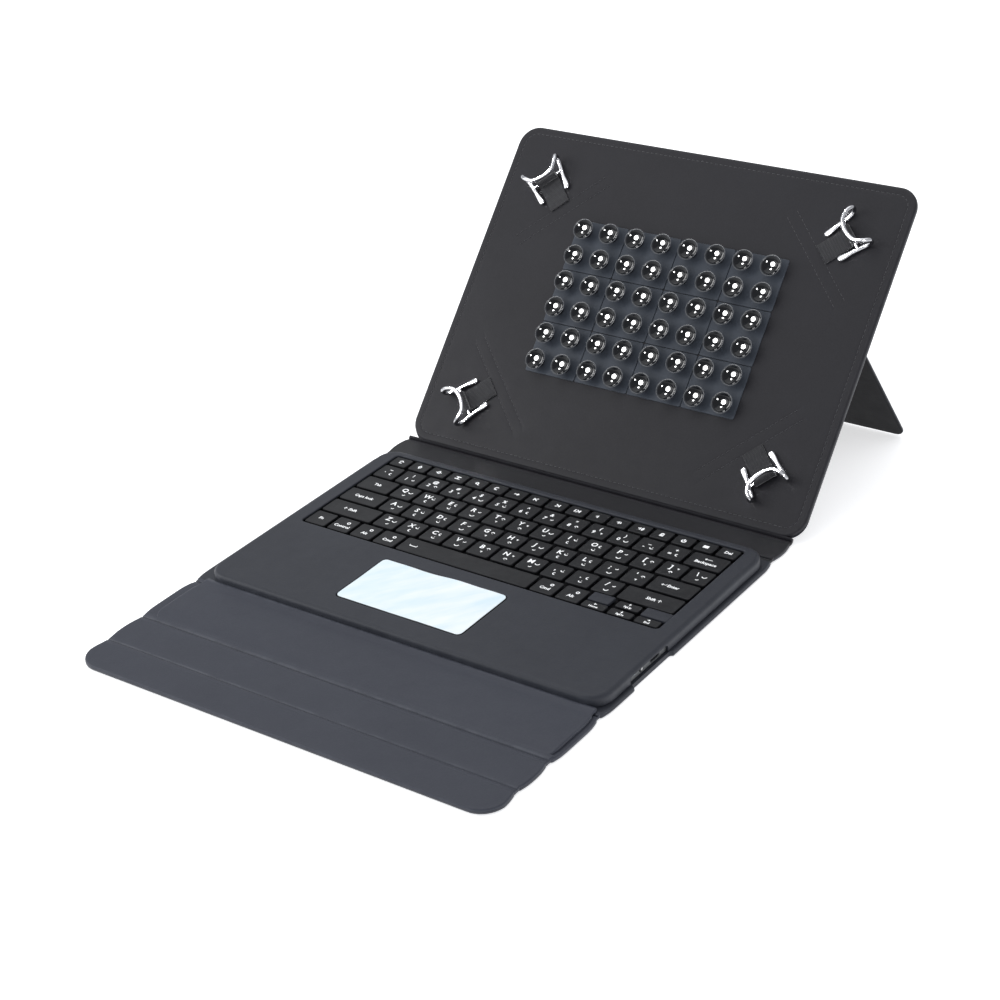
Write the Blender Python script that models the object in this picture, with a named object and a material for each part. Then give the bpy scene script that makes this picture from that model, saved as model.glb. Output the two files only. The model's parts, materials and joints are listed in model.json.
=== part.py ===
"""Tablet keyboard case, in metres, +Z up.

A keyboard deck lies on the table. A three-piece flap folds out in front of it, and a spine
joins its rear edge to a back panel with suction cups, four sprung corner hooks and a kickstand.
X is the user's right and Y points away from the user. The origin is on the table, under the
middle of the keyboard. Lengths below are in millimetres and angles in degrees.
"""

import math

import bmesh
import bpy
from mathutils import Matrix, Vector
from mathutils.geometry import tessellate_polygon

MM = 0.001

# Keyboard
KEY_PITCH = 17.0
ROW_PITCH = 16.2
KEY_GAP = 2.2
UNITS_WIDE = 14.5
FUNCTION_KEYS = 17
FUNCTION_ROW_DEPTH = 11.7
NUMBER_ROW_Y = 41.4
KEY_BOTTOM = 7.9
KEY_TOP = 9.2
KEY_CHAMFER = 0.9
KEY_SHOULDER = 0.35
WEB_WIDTH = 2.5

# Thin layers: leather outside, board or lining inside, a small gap between them
COVER = 1.3
LINER_BOTTOM = 1.6
LINER_TOP = 2.9
FOLD_Z = 1.46
FOLD_GAP = 1.5

# Deck. The limits of each hidden piece are x0, x1, y0, y1
LEATHER_LEFT = -142.5
LEATHER_RIGHT = 137.0
DECK_HALF_WIDTH = 134.5
DECK_FRONT = -104.5
DECK_REAR = 68.0
DECK_TOP = 9.5
DECK_CORNER = 13.0
DECK_EDGE_ROUND = 2.4
SKIN = 1.2
SKIN_BOTTOM = 3.2
TRAY_BOTTOM = 3.1
TRAY_TOP = 8.0
TRAY_WALL = 1.6
TRAY_FLOOR = 0.7
LAYER_GAP = 0.3
WELL_MARGIN = 1.6
WELL_CORNER = 2.5
PAD_WIDTH = 86.0
PAD_DEPTH = 45.6
PAD_X = -8.2
PAD_Y = -65.8
PAD_CORNER = 3.0
PORT_Y = -50.0
BUTTON_Y = -63.2
LED_Y = -69.4
SIDE_Z = 5.7
NOTCH_FRONT = -76.0
NOTCH_REAR = -43.5
MEMBRANE_BOTTOM = 6.0
MEMBRANE_TOP = 6.6
CIRCUIT_LIMITS = (60.0, 124.5, -98.0, -42.0)
CIRCUIT_TOP = 5.5
CELL_LIMITS = (-122.0, -62.0, -96.0, -44.0)
CELL_TOP = 7.4
HIDDEN_BOTTOM = 4.5
SENSOR_BOTTOM = 6.2
SENSOR_TOP = 7.0

# Side opening, as half sizes along Y and Z, radii and depths behind the tray's outer face
PORT_HALF = (4.5, 1.6)
PORT_WALL = 0.3
PORT_DEPTH = 7.5
TONGUE_HALF = (3.3, 0.35)
BUTTON_RADIUS = 1.7
BUTTON_PROUD = 0.6
BUTTON_DEPTH = 3.2
LED_RADIUS = 0.6
LED_DEPTH = 2.6

# Fold lines, as Y of the axis
FLAP_1_AXIS = -107.0
FLAP_2_AXIS = -151.1
FLAP_3_AXIS = -178.2
FLAP_FRONT = -202.5
FLAP_CORNER = 14.0
FLAP_TOP = 3.0
MAGNET_X = 70.0
MAGNET_HALF_X = 10.0
MAGNET_HALF_Y = 4.0
MAGNET_TOP = 2.4
RAISED_TOP = 4.6
SPINE_AXIS = 70.3

# Back panel, in its own frame: Y up the panel and Z out of its face, from the fold axis
PANEL_AXIS_Y = 93.9
PANEL_TILT = 47.07
PANEL_HALF_WIDTH = 140.2
PANEL_LENGTH = 218.8
PANEL_CORNER = 13.0
PANEL_BACK = -1.46
PANEL_FACE = 2.34
CUP_COLUMNS = 8
CUP_ROWS = 6
CUP_PITCH_X = 19.0
CUP_PITCH_Y = 17.5
CUP_FIRST_Y = 67.9
CUP_RIM = 6.8
CUP_NECK = 3.7
CUP_HEIGHT = 6.2
CUP_LIP = 0.9
CUP_DISH = 2.0
CUP_SIDES = 10
SHEET = 1.0
CLOSURE_PLATE = (-30.0, 30.0, 199.0, 211.0)
HOOK_X = 110.5
HOOK_TOP_Y = 187.0
HOOK_BOTTOM_Y = 28.2
WIRE_RADIUS = 1.4
WIRE_SIDES = 8
BAR_RADIUS = 1.0
BAR_OUT = -4.5
BAR_HEIGHT = 2.6
BAR_REACH = 10.6
STRAP_HALF_WIDTH = 6.8
STRAP_START = -24.8
STRAP_BOTTOM = 0.4
STRAP_THICKNESS = 1.0

# Kickstand, hinged on the back of the panel
LEG_AXIS_Y = 123.1
LEG_AXIS_Z = -1.67
LEG_ANGLE = -54.7
LEG_LENGTH = 110.8
LEG_HALF_WIDTH = 131.0
LEG_CORNER = 6.0


# Scene and materials


def clear_scene():
    for item in list(bpy.data.objects):
        bpy.data.objects.remove(item, do_unlink=True)


def material(name, colour, roughness, metallic=0.0):
    made = bpy.data.materials.new(name)
    made.use_nodes = True
    shader = made.node_tree.nodes["Principled BSDF"]
    shader.inputs["Base Color"].default_value = (*colour, 1.0)
    shader.inputs["Roughness"].default_value = roughness
    shader.inputs["Metallic"].default_value = metallic
    made.diffuse_color = (*colour, 1.0)
    return made


def empty(name, y, z, tilt=0.0, parent=None):
    """An empty on a fold axis, which runs along X."""
    made = bpy.data.objects.new(name, None)
    bpy.context.scene.collection.objects.link(made)
    made.location = (0, y * MM, z * MM)
    made.rotation_euler = (math.radians(tilt), 0, 0)
    made.parent = parent
    return made


def add_object(name, mesh_source, look, parent=None, origin=(0.0, 0.0, 0.0)):
    """Turns a bmesh in millimetres, drawn in its parent's frame, into an object with this origin."""
    start = Vector(origin)
    bmesh.ops.translate(mesh_source, verts=mesh_source.verts, vec=-start)
    bmesh.ops.scale(mesh_source, verts=mesh_source.verts, vec=(MM, MM, MM))
    bmesh.ops.recalc_face_normals(mesh_source, faces=mesh_source.faces)
    mesh = bpy.data.meshes.new(name)
    mesh_source.to_mesh(mesh)
    mesh_source.free()
    made = bpy.data.objects.new(name, mesh)
    bpy.context.scene.collection.objects.link(made)
    made.location = start * MM
    made.parent = parent
    if look is not None:
        mesh.materials.append(look)
    return made


def gather(target, source):
    """Adds one bmesh to another and frees it."""
    scrap = bpy.data.meshes.new("scrap")
    source.to_mesh(scrap)
    source.free()
    target.from_mesh(scrap)
    bpy.data.meshes.remove(scrap)


def as_helper(made):
    made.hide_render = True
    made.display_type = "WIRE"
    return made


def combine(target, helper, operation):
    step = target.modifiers.new(helper.name, "BOOLEAN")
    step.object = helper
    step.operation = operation
    step.solver = "EXACT"


def cut(target, mesh_source, name, parent=None):
    combine(target, as_helper(add_object(name, mesh_source, None, parent)), "DIFFERENCE")


# Outlines


def arc_points(centre, radius, start, end, steps):
    angles = [math.radians(start + (end - start) * i / steps) for i in range(steps + 1)]
    return [(centre[0] + radius * math.cos(a), centre[1] + radius * math.sin(a)) for a in angles]


def rounded_rectangle(x0, x1, y0, y1, radii, steps=4):
    """Counter-clockwise outline. radii holds the corner radii from lower left, counter-clockwise."""
    if not isinstance(radii, tuple):
        radii = (radii,) * 4
    corners = ((x0, y0, 1, 1), (x1, y0, -1, 1), (x1, y1, -1, -1), (x0, y1, 1, -1))
    points = []
    for number, (x, y, to_x, to_y) in enumerate(corners):
        radius = radii[number]
        if radius <= 0:
            points.append((x, y))
            continue
        centre = (x + to_x * radius, y + to_y * radius)
        start = 180 + 90 * number
        points += arc_points(centre, radius, start, start + 90, steps)
    return points


def circle_outline(x, y, radius, steps=20):
    return arc_points((x, y), radius, 0, 360, steps)[:-1]


# Solids


def slab(outline, z0, z1, holes=()):
    """A flat plate with square edges and optional through holes."""
    mesh = bmesh.new()
    loops = [outline, *holes]
    flat = [point for loop in loops for point in loop]
    low = [mesh.verts.new((x, y, z0)) for x, y in flat]
    high = [mesh.verts.new((x, y, z1)) for x, y in flat]
    triangles = tessellate_polygon([[Vector((x, y, 0)) for x, y in loop] for loop in loops])
    for a, b, c in triangles:
        mesh.faces.new((low[a], low[b], low[c]))
        mesh.faces.new((high[c], high[b], high[a]))
    start = 0
    for loop in loops:
        count = len(loop)
        for i in range(count):
            a = start + i
            b = start + (i + 1) % count
            mesh.faces.new((low[a], low[b], high[b], high[a]))
        start += count
    return mesh


def loft(rings):
    """Joins rings of equally many points and closes both ends."""
    mesh = bmesh.new()
    made = [[mesh.verts.new(point) for point in ring] for ring in rings]
    count = len(rings[0])
    for below, above in zip(made, made[1:]):
        for i in range(count):
            j = (i + 1) % count
            mesh.faces.new((below[i], below[j], above[j], above[i]))
    mesh.faces.new(list(reversed(made[0])))
    mesh.faces.new(made[-1])
    return mesh


def domed_plate(x0, x1, y0, y1, corner, z0, z1, edge_round, steps=3):
    """A plate whose upper edge is rounded."""
    rings = []
    insets = [(0.0, z0)]
    for i in range(steps + 1):
        angle = math.radians(90 * i / steps)
        inset = edge_round * (1 - math.cos(angle))
        insets.append((inset, z1 - edge_round * (1 - math.sin(angle))))
    for inset, z in insets:
        outline = rounded_rectangle(
            x0 + inset, x1 - inset, y0 + inset, y1 - inset, corner - inset, 5
        )
        rings.append([(x, y, z) for x, y in outline])
    return loft(rings)


def box(x0, x1, y0, y1, z0, z1):
    return slab([(x0, y0), (x1, y0), (x1, y1), (x0, y1)], z0, z1)


def turned_along_x(mesh, x):
    """Turns a shape drawn in XY, with its height along Z, so that the height runs along X from x."""
    turn = Matrix(((0, 0, 1, x), (1, 0, 0, 0), (0, 1, 0, 0), (0, 0, 0, 1)))
    bmesh.ops.transform(mesh, matrix=turn, verts=mesh.verts)
    return mesh


# Outer cover and boards under the deck


def side_notched(mesh_name, inset, z0, z1, look):
    """A layer under the deck, with its right edge cut back beside the charging port."""
    outline = rounded_rectangle(
        LEATHER_LEFT + inset,
        LEATHER_RIGHT - inset,
        FLAP_1_AXIS + FOLD_GAP + inset,
        SPINE_AXIS - FOLD_GAP,
        1.0,
        2,
    )
    made = add_object(mesh_name, slab(outline, z0, z1), look)
    notch = box(DECK_HALF_WIDTH + 0.4, LEATHER_RIGHT + 5, NOTCH_FRONT, NOTCH_REAR, -1, 5)
    cut(made, notch, mesh_name + "_notch")
    return made


def make_base(looks):
    side_notched("base_cover", 0.0, 0.0, COVER, looks["leather"])
    side_notched("base_board", 1.2, LINER_BOTTOM, 2.8, looks["board"])


# Deck


def tray_outline(inset):
    edge = SKIN + LAYER_GAP + inset
    return (
        -DECK_HALF_WIDTH + edge,
        DECK_HALF_WIDTH - edge,
        DECK_FRONT + edge,
        DECK_REAR - edge,
    )


def side_outline(y, half, grow=0.0):
    """Outline of a slot with round ends in the right side of the deck."""
    half_y = half[0] + grow
    half_z = half[1] + grow
    return rounded_rectangle(y - half_y, y + half_y, SIDE_Z - half_z, SIDE_Z + half_z, half_z - 0.05)


def make_tray(looks):
    radius = DECK_CORNER - SKIN - LAYER_GAP
    outline = rounded_rectangle(*tray_outline(0), radius)
    tray = add_object("deck_tray", slab(outline, TRAY_BOTTOM, TRAY_TOP), looks["shell_plastic"])
    inner = rounded_rectangle(*tray_outline(TRAY_WALL), radius - TRAY_WALL)
    floor = TRAY_BOTTOM + TRAY_FLOOR
    cut(tray, slab(inner, floor, TRAY_TOP + 1), "tray_cavity")
    wall = DECK_HALF_WIDTH - SKIN - LAYER_GAP - TRAY_WALL
    slot = slab(side_outline(PORT_Y, PORT_HALF, LAYER_GAP), -1, 4)
    cut(tray, turned_along_x(slot, wall), "port_opening")
    button_hole = slab(circle_outline(BUTTON_Y, SIDE_Z, BUTTON_RADIUS + LAYER_GAP, 16), -1, 4)
    cut(tray, turned_along_x(button_hole, wall), "button_opening")
    led_hole = slab(circle_outline(LED_Y, SIDE_Z, LED_RADIUS + LAYER_GAP, 12), -1, 4)
    cut(tray, turned_along_x(led_hole, wall), "led_opening")


def well_limits(grow=0.0):
    half = UNITS_WIDE * KEY_PITCH / 2 + WELL_MARGIN + grow
    top = NUMBER_ROW_Y + ROW_PITCH / 2 + FUNCTION_ROW_DEPTH + WELL_MARGIN + grow
    bottom = NUMBER_ROW_Y - 4.5 * ROW_PITCH - WELL_MARGIN - grow
    return -half, half, bottom, top


def pad_limits(grow=0.0):
    half_x = PAD_WIDTH / 2 + grow
    half_y = PAD_DEPTH / 2 + grow
    return PAD_X - half_x, PAD_X + half_x, PAD_Y - half_y, PAD_Y + half_y


def make_skin(looks):
    shape = domed_plate(
        -DECK_HALF_WIDTH,
        DECK_HALF_WIDTH,
        DECK_FRONT,
        DECK_REAR,
        DECK_CORNER,
        SKIN_BOTTOM,
        DECK_TOP,
        DECK_EDGE_ROUND,
    )
    skin = add_object("deck_skin", shape, looks["leather"])
    inner = rounded_rectangle(*tray_outline(-LAYER_GAP), DECK_CORNER - SKIN)
    cut(skin, slab(inner, SKIN_BOTTOM - 1, TRAY_TOP + LAYER_GAP), "skin_cavity")
    well = rounded_rectangle(*well_limits(), WELL_CORNER)
    cut(skin, slab(well, TRAY_TOP - 1, DECK_TOP + 1), "key_well")
    pad = rounded_rectangle(*pad_limits(0.4), PAD_CORNER + 0.4)
    cut(skin, slab(pad, TRAY_TOP - 1, DECK_TOP + 1), "pad_opening")
    notch_x = DECK_HALF_WIDTH - SKIN - 0.1
    notch = box(notch_x, DECK_HALF_WIDTH + 3, NOTCH_FRONT + 1, NOTCH_REAR - 1, 1, TRAY_TOP - 0.4)
    cut(skin, notch, "skin_notch")


def make_electronics(looks):
    x0, x1, y0, y1 = well_limits(0.6)
    membrane = slab(rounded_rectangle(x0, x1, y0, y1, 3.0, 2), MEMBRANE_BOTTOM, MEMBRANE_TOP)
    add_object("key_membrane", membrane, looks["film"])
    board = slab(rounded_rectangle(*CIRCUIT_LIMITS, 3.0, 2), HIDDEN_BOTTOM, CIRCUIT_TOP)
    add_object("circuit_board", board, looks["circuit"])
    cell = slab(rounded_rectangle(*CELL_LIMITS, 2.5, 2), HIDDEN_BOTTOM, CELL_TOP)
    add_object("battery", cell, looks["foil"])
    x0, x1, y0, y1 = pad_limits(-1.5)
    sensor = slab(rounded_rectangle(x0, x1, y0, y1, 1.5, 2), SENSOR_BOTTOM, SENSOR_TOP)
    add_object("touchpad_sensor", sensor, looks["circuit"])


def make_touchpad(looks):
    x0, x1, y0, y1 = pad_limits()
    shape = domed_plate(x0, x1, y0, y1, PAD_CORNER, 7.9, DECK_TOP, 0.3, 1)
    add_object("touchpad_plate", shape, looks["touch_film"], origin=(PAD_X, PAD_Y, DECK_TOP))


def make_side_controls(looks):
    face = DECK_HALF_WIDTH - SKIN - LAYER_GAP
    outer = slab(side_outline(PORT_Y, PORT_HALF), -PORT_DEPTH, 0)
    shell = add_object("usb_shell", turned_along_x(outer, face), looks["steel"])
    bore = slab(side_outline(PORT_Y, PORT_HALF, -PORT_WALL), -PORT_DEPTH + 0.7, 1)
    cut(shell, turned_along_x(bore, face), "port_bore")
    tongue = slab(side_outline(PORT_Y, TONGUE_HALF), -PORT_DEPTH + 1.0, -1.0)
    add_object("usb_tongue", turned_along_x(tongue, face), looks["black_plastic"])
    button = slab(circle_outline(BUTTON_Y, SIDE_Z, BUTTON_RADIUS, 16), -BUTTON_DEPTH, BUTTON_PROUD)
    origin = (face + BUTTON_PROUD, BUTTON_Y, SIDE_Z)
    add_object("power_button", turned_along_x(button, face), looks["black_plastic"], None, origin)
    pipe = slab(circle_outline(LED_Y, SIDE_Z, LED_RADIUS, 12), -LED_DEPTH, 0.1)
    add_object("status_led", turned_along_x(pipe, face), looks["light_pipe"])


# Keys


def key_rings(x0, x1, y0, y1):
    """Three rings of a keycap: its foot, its shoulder and its slightly smaller top."""
    rings = []
    for inset, z in ((0.0, KEY_BOTTOM), (0.0, KEY_TOP - KEY_SHOULDER), (KEY_SHOULDER, KEY_TOP)):
        outline = rounded_rectangle(
            x0 + inset, x1 - inset, y0 + inset, y1 - inset, KEY_CHAMFER, 1
        )
        rings.append([(x, y, z) for x, y in outline])
    return rings


def key_limits(left, right, row_y, depth=ROW_PITCH, pitch=KEY_PITCH):
    """Edges of a key that spans the units from left to right, less the gap around it."""
    half = KEY_GAP / 2
    start = -UNITS_WIDE * KEY_PITCH / 2
    return (
        start + left * pitch + half,
        start + right * pitch - half,
        row_y - depth / 2 + half,
        row_y + depth / 2 - half,
    )


def single_key(name, left, right, row_y, looks, depth=ROW_PITCH):
    x0, x1, y0, y1 = key_limits(left, right, row_y, depth)
    origin = ((x0 + x1) / 2, (y0 + y1) / 2, KEY_TOP)
    add_object(name, loft(key_rings(x0, x1, y0, y1)), looks["key_plastic"], None, origin)


def row_of_keys(name, first, count, row_y, looks, depth=ROW_PITCH, pitch=KEY_PITCH):
    """Equal keys side by side, joined under their tops by one thin web."""
    caps = bmesh.new()
    for number in range(count):
        limits = key_limits(first + number, first + number + 1, row_y, depth, pitch)
        gather(caps, loft(key_rings(*limits)))
    x0 = key_limits(first, first + 1, row_y, depth, pitch)[0]
    x1 = key_limits(first + count - 1, first + count, row_y, depth, pitch)[1]
    origin = ((x0 + x1) / 2, row_y, KEY_TOP)
    row = add_object(name, caps, looks["key_plastic"], None, origin)
    half = WEB_WIDTH / 2
    web = box(x0 + 2, x1 - 2, row_y - half, row_y + half, KEY_BOTTOM + 0.1, KEY_BOTTOM + 0.5)
    combine(row, as_helper(add_object(name + "_web", web, None)), "UNION")


def row_y(row):
    """Middle of a row: 0 is the number row, 4 the row of the space bar."""
    return NUMBER_ROW_Y - row * ROW_PITCH


def make_keys(looks):
    function_y = NUMBER_ROW_Y + (ROW_PITCH + FUNCTION_ROW_DEPTH) / 2
    function_pitch = UNITS_WIDE * KEY_PITCH / FUNCTION_KEYS
    row_of_keys(
        "keys_function_row", 0, FUNCTION_KEYS, function_y, looks, FUNCTION_ROW_DEPTH, function_pitch
    )
    row_of_keys("keys_number_row", 0, 13, row_y(0), looks)
    single_key("key_backspace", 13, 14.5, row_y(0), looks)
    single_key("key_tab", 0, 1.5, row_y(1), looks)
    row_of_keys("keys_upper_row", 1.5, 13, row_y(1), looks)
    single_key("key_caps_lock", 0, 1.75, row_y(2), looks)
    row_of_keys("keys_home_row", 1.75, 11, row_y(2), looks)
    single_key("key_enter", 12.75, 14.5, row_y(2), looks)
    single_key("key_shift_left", 0, 2.25, row_y(3), looks)
    row_of_keys("keys_lower_row", 2.25, 10, row_y(3), looks)
    single_key("key_shift_right", 12.25, 14.5, row_y(3), looks)
    for number, name in enumerate(("fn", "control", "option_left", "command_left")):
        single_key("key_" + name, number, number + 1, row_y(4), looks)
    single_key("key_space", 4, 9.5, row_y(4), looks)
    single_key("key_command_right", 9.5, 10.5, row_y(4), looks)
    single_key("key_option_right", 10.5, 11.5, row_y(4), looks)
    make_arrows(looks)


def make_arrows(looks):
    half = ROW_PITCH / 2
    lower = row_y(4) - half / 2
    upper = row_y(4) + half / 2
    single_key("key_arrow_left", 11.5, 12.5, lower, looks, half)
    single_key("key_arrow_down", 12.5, 13.5, lower, looks, half)
    single_key("key_arrow_right", 13.5, 14.5, lower, looks, half)
    single_key("key_arrow_up", 12.5, 13.5, upper, looks, half)


# Front flap: three boards with fold lines between them


def flap_strip(name, rear, front, inset, z0, z1, look, pivot, corner=1.0):
    """One layer of a flap piece. Y is measured in the world, and the object hangs on its pivot."""
    axis = pivot.location.y / MM
    outline = rounded_rectangle(
        LEATHER_LEFT + inset,
        LEATHER_RIGHT - inset,
        front - axis,
        rear - axis,
        (corner, corner, 1.0, 1.0),
        5,
    )
    return add_object(name, slab(outline, z0 - FOLD_Z, z1 - FOLD_Z), look, pivot)


def make_flap_1(looks):
    pivot = empty("flap_1_pivot", FLAP_1_AXIS, FOLD_Z)
    rear = FLAP_1_AXIS - FOLD_GAP
    front = FLAP_2_AXIS + FOLD_GAP
    flap_strip("flap_1_cover", rear, front, 0.0, 0.0, COVER, looks["leather"], pivot)
    shape = domed_plate(
        -DECK_HALF_WIDTH,
        DECK_HALF_WIDTH,
        front + 1.6 - FLAP_1_AXIS,
        rear - 1.0 - FLAP_1_AXIS,
        3.0,
        LINER_BOTTOM - FOLD_Z,
        RAISED_TOP - FOLD_Z,
        0.8,
        2,
    )
    add_object("flap_1_board", shape, looks["leather"], pivot)


def make_flap_2(looks):
    pivot = empty("flap_2_pivot", FLAP_2_AXIS, FOLD_Z)
    rear = FLAP_2_AXIS - FOLD_GAP - 0.1
    front = FLAP_3_AXIS + FOLD_GAP + 0.1
    flap_strip("flap_2_cover", rear, front, 0.6, 0.0, COVER, looks["leather"], pivot)
    flap_strip("flap_2_board", rear, front, 1.6, LINER_BOTTOM, FLAP_TOP, looks["leather"], pivot)


def make_flap_3(looks):
    pivot = empty("flap_3_pivot", FLAP_3_AXIS, FOLD_Z)
    rear = FLAP_3_AXIS - FOLD_GAP - 0.1
    front = FLAP_FRONT
    flap_strip("flap_3_cover", rear, front, 0.6, 0.0, COVER, looks["leather"], pivot, FLAP_CORNER)
    liner = flap_strip(
        "flap_3_board",
        rear,
        front + 1.0,
        1.6,
        LINER_BOTTOM,
        FLAP_TOP,
        looks["leather"],
        pivot,
        FLAP_CORNER - 1.0,
    )
    middle = (rear + front) / 2 - FLAP_3_AXIS
    for side, label in ((-1, "left"), (1, "right")):
        pocket = magnet_block(side * MAGNET_X, middle, LAYER_GAP, 0)
        cut(liner, pocket, "magnet_pocket_" + label, pivot)
        magnet = magnet_block(side * MAGNET_X, middle, 0, LINER_BOTTOM - FOLD_Z)
        add_object("flap_magnet_" + label, magnet, looks["magnet"], pivot)


def magnet_block(x, y, grow, z0):
    """A hidden closing magnet, or its pocket when grown, in the frame of the flap's pivot."""
    half_x = MAGNET_HALF_X + grow
    half_y = MAGNET_HALF_Y + grow
    return box(x - half_x, x + half_x, y - half_y, y + half_y, z0, MAGNET_TOP + grow - FOLD_Z)


# Spine


def make_spine(looks):
    pivot = empty("spine_pivot", SPINE_AXIS, FOLD_Z)
    near = FOLD_GAP - 0.1
    far = PANEL_AXIS_Y - SPINE_AXIS - 2.55
    layers = (
        ("spine_cover", 0.8, 0.0, COVER),
        ("spine_lining", 1.8, LINER_BOTTOM, LINER_TOP),
    )
    for name, inset, z0, z1 in layers:
        left, right = LEATHER_LEFT + inset, LEATHER_RIGHT - inset
        outline = rounded_rectangle(left, right, near, far, 1.0, 2)
        add_object(name, slab(outline, z0 - FOLD_Z, z1 - FOLD_Z), looks["leather"], pivot)
    return pivot


# Back panel


def panel_outline(inset, start):
    return rounded_rectangle(
        -PANEL_HALF_WIDTH + inset,
        PANEL_HALF_WIDTH - inset,
        start,
        PANEL_LENGTH - inset,
        PANEL_CORNER - inset,
        6,
    )


def make_panel_layers(looks, pivot):
    back = slab(panel_outline(0, 0.8), PANEL_BACK, PANEL_BACK + 1.4)
    add_object("panel_cover", back, looks["leather"], pivot)
    board = add_object("panel_board", slab(panel_outline(1.5, 3.4), 0.14, 1.14), looks["board"], pivot)
    x0, x1, y0, y1 = CLOSURE_PLATE
    pocket = box(x0 - LAYER_GAP, x1 + LAYER_GAP, y0 - LAYER_GAP, y1 + LAYER_GAP, -0.5, 2)
    cut(board, pocket, "closure_pocket", pivot)
    add_object("closure_plate", box(*CLOSURE_PLATE, 0.2, 1.1), looks["steel"], pivot)
    add_object("panel_lining", slab(panel_outline(0, 1.8), 1.34, PANEL_FACE), looks["leather"], pivot)


def cup(x, y, floor):
    """A suction cup: a neck that widens to a rim, with a dished mouth."""
    profile = ((CUP_NECK, floor), (CUP_RIM, CUP_HEIGHT), (CUP_RIM - CUP_LIP, CUP_HEIGHT))
    mesh = bmesh.new()
    rings = []
    for radius, height in profile:
        ring = circle_outline(x, y, radius, CUP_SIDES)
        rings.append([mesh.verts.new((px, py, PANEL_FACE + height)) for px, py in ring])
    for below, above in zip(rings, rings[1:]):
        for i in range(CUP_SIDES):
            j = (i + 1) % CUP_SIDES
            mesh.faces.new((below[i], below[j], above[j], above[i]))
    mesh.faces.new(list(reversed(rings[0])))
    bottom = mesh.verts.new((x, y, PANEL_FACE + CUP_HEIGHT - CUP_DISH))
    for i in range(CUP_SIDES):
        j = (i + 1) % CUP_SIDES
        mesh.faces.new((rings[-1][i], rings[-1][j], bottom))
    return mesh


def make_suction_sheet(looks, pivot):
    half_x = CUP_COLUMNS * CUP_PITCH_X / 2 + 0.5
    low = CUP_FIRST_Y - CUP_PITCH_Y / 2
    high = low + CUP_ROWS * CUP_PITCH_Y
    base = LAYER_GAP
    outline = rounded_rectangle(-half_x, half_x, low, high, 2.0, 2)
    flat = slab(outline, PANEL_FACE + base, PANEL_FACE + base + SHEET)
    sheet = add_object("suction_sheet", flat, looks["silicone"], pivot)
    cups = bmesh.new()
    for row in range(CUP_ROWS):
        for column in range(CUP_COLUMNS):
            x = (column - (CUP_COLUMNS - 1) / 2) * CUP_PITCH_X
            gather(cups, cup(x, CUP_FIRST_Y + row * CUP_PITCH_Y, base + SHEET / 2))
    combine(sheet, as_helper(add_object("suction_cups", cups, None, pivot)), "UNION")


# Corner hooks


def smooth_path(points, steps):
    """Catmull-Rom curve through the points."""
    ends = [points[0] * 2 - points[1], *points, points[-1] * 2 - points[-2]]
    path = []
    for a, b, c, d in zip(ends, ends[1:], ends[2:], ends[3:]):
        for i in range(steps):
            t = i / steps
            path.append(
                0.5 * (2 * b + (c - a) * t + (2 * a - 5 * b + 4 * c - d) * t**2
                       + (3 * b - a - 3 * c + d) * t**3)
            )
    path.append(points[-1])
    return path


def hook_path():
    """Half of a hook, from the end of its leg to the middle of its bow: across, outwards, above
    the face. The leg lies on the lining, and the bow stands off it to reach over a tablet's corner.
    """
    return [
        Vector((-9.5, -16.4, 1.75)),
        Vector((-10.4, -7.0, 1.75)),
        Vector((-11.4, 1.0, 1.8)),
        Vector((-12.3, 4.4, 3.9)),
        Vector((-12.4, 4.4, 7.4)),
        Vector((-11.2, 0.8, 9.3)),
        Vector((-7.4, -3.6, 9.4)),
        Vector((0.0, -5.2, 9.4)),
    ]


def tube(path, radius, sides):
    """A round bar along a path, closed at both ends."""
    rings = []
    side = Vector((0, 0, 1))
    for number, centre in enumerate(path):
        before = path[max(number - 1, 0)]
        after = path[min(number + 1, len(path) - 1)]
        forward = (after - before).normalized()
        side = (side - forward * side.dot(forward)).normalized()
        other = forward.cross(side)
        ring = []
        for i in range(sides):
            angle = 2 * math.pi * (i + 0.5) / sides
            ring.append(centre + (side * math.cos(angle) + other * math.sin(angle)) * radius)
        rings.append(ring)
    return loft(rings)


def hook_frame(side_x, side_y):
    """Unit vectors across the corner and outwards to it, for the corner on these sides."""
    outwards = Vector((side_x, side_y, 0)).normalized()
    across = Vector((side_x, -side_y, 0)).normalized()
    return across, outwards


def make_hook(label, side_x, side_y, looks, pivot):
    """A wire hook: two legs, a bow above them, and a low bar that the elastic strap holds."""
    across, outwards = hook_frame(side_x, side_y)
    y = HOOK_TOP_Y if side_y > 0 else HOOK_BOTTOM_Y
    centre = Vector((side_x * HOOK_X, y, PANEL_FACE))
    half = hook_path()
    path = smooth_path(half + [Vector((-p.x, p.y, p.z)) for p in reversed(half[:-1])], 3)
    places = [centre + across * p.x + outwards * p.y + Vector((0, 0, p.z)) for p in path]
    wire = tube(places, WIRE_RADIUS, WIRE_SIDES)
    made = add_object("hook_wire_" + label, wire, looks["chrome"], pivot, tuple(centre))
    middle = centre + outwards * BAR_OUT + Vector((0, 0, BAR_HEIGHT))
    ends = [middle - across * BAR_REACH, middle + across * BAR_REACH]
    bar = add_object("hook_bar_" + label, tube(ends, BAR_RADIUS, WIRE_SIDES), None, pivot)
    combine(made, as_helper(bar), "UNION")
    make_strap(label, centre, across, outwards, looks, pivot)


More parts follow.
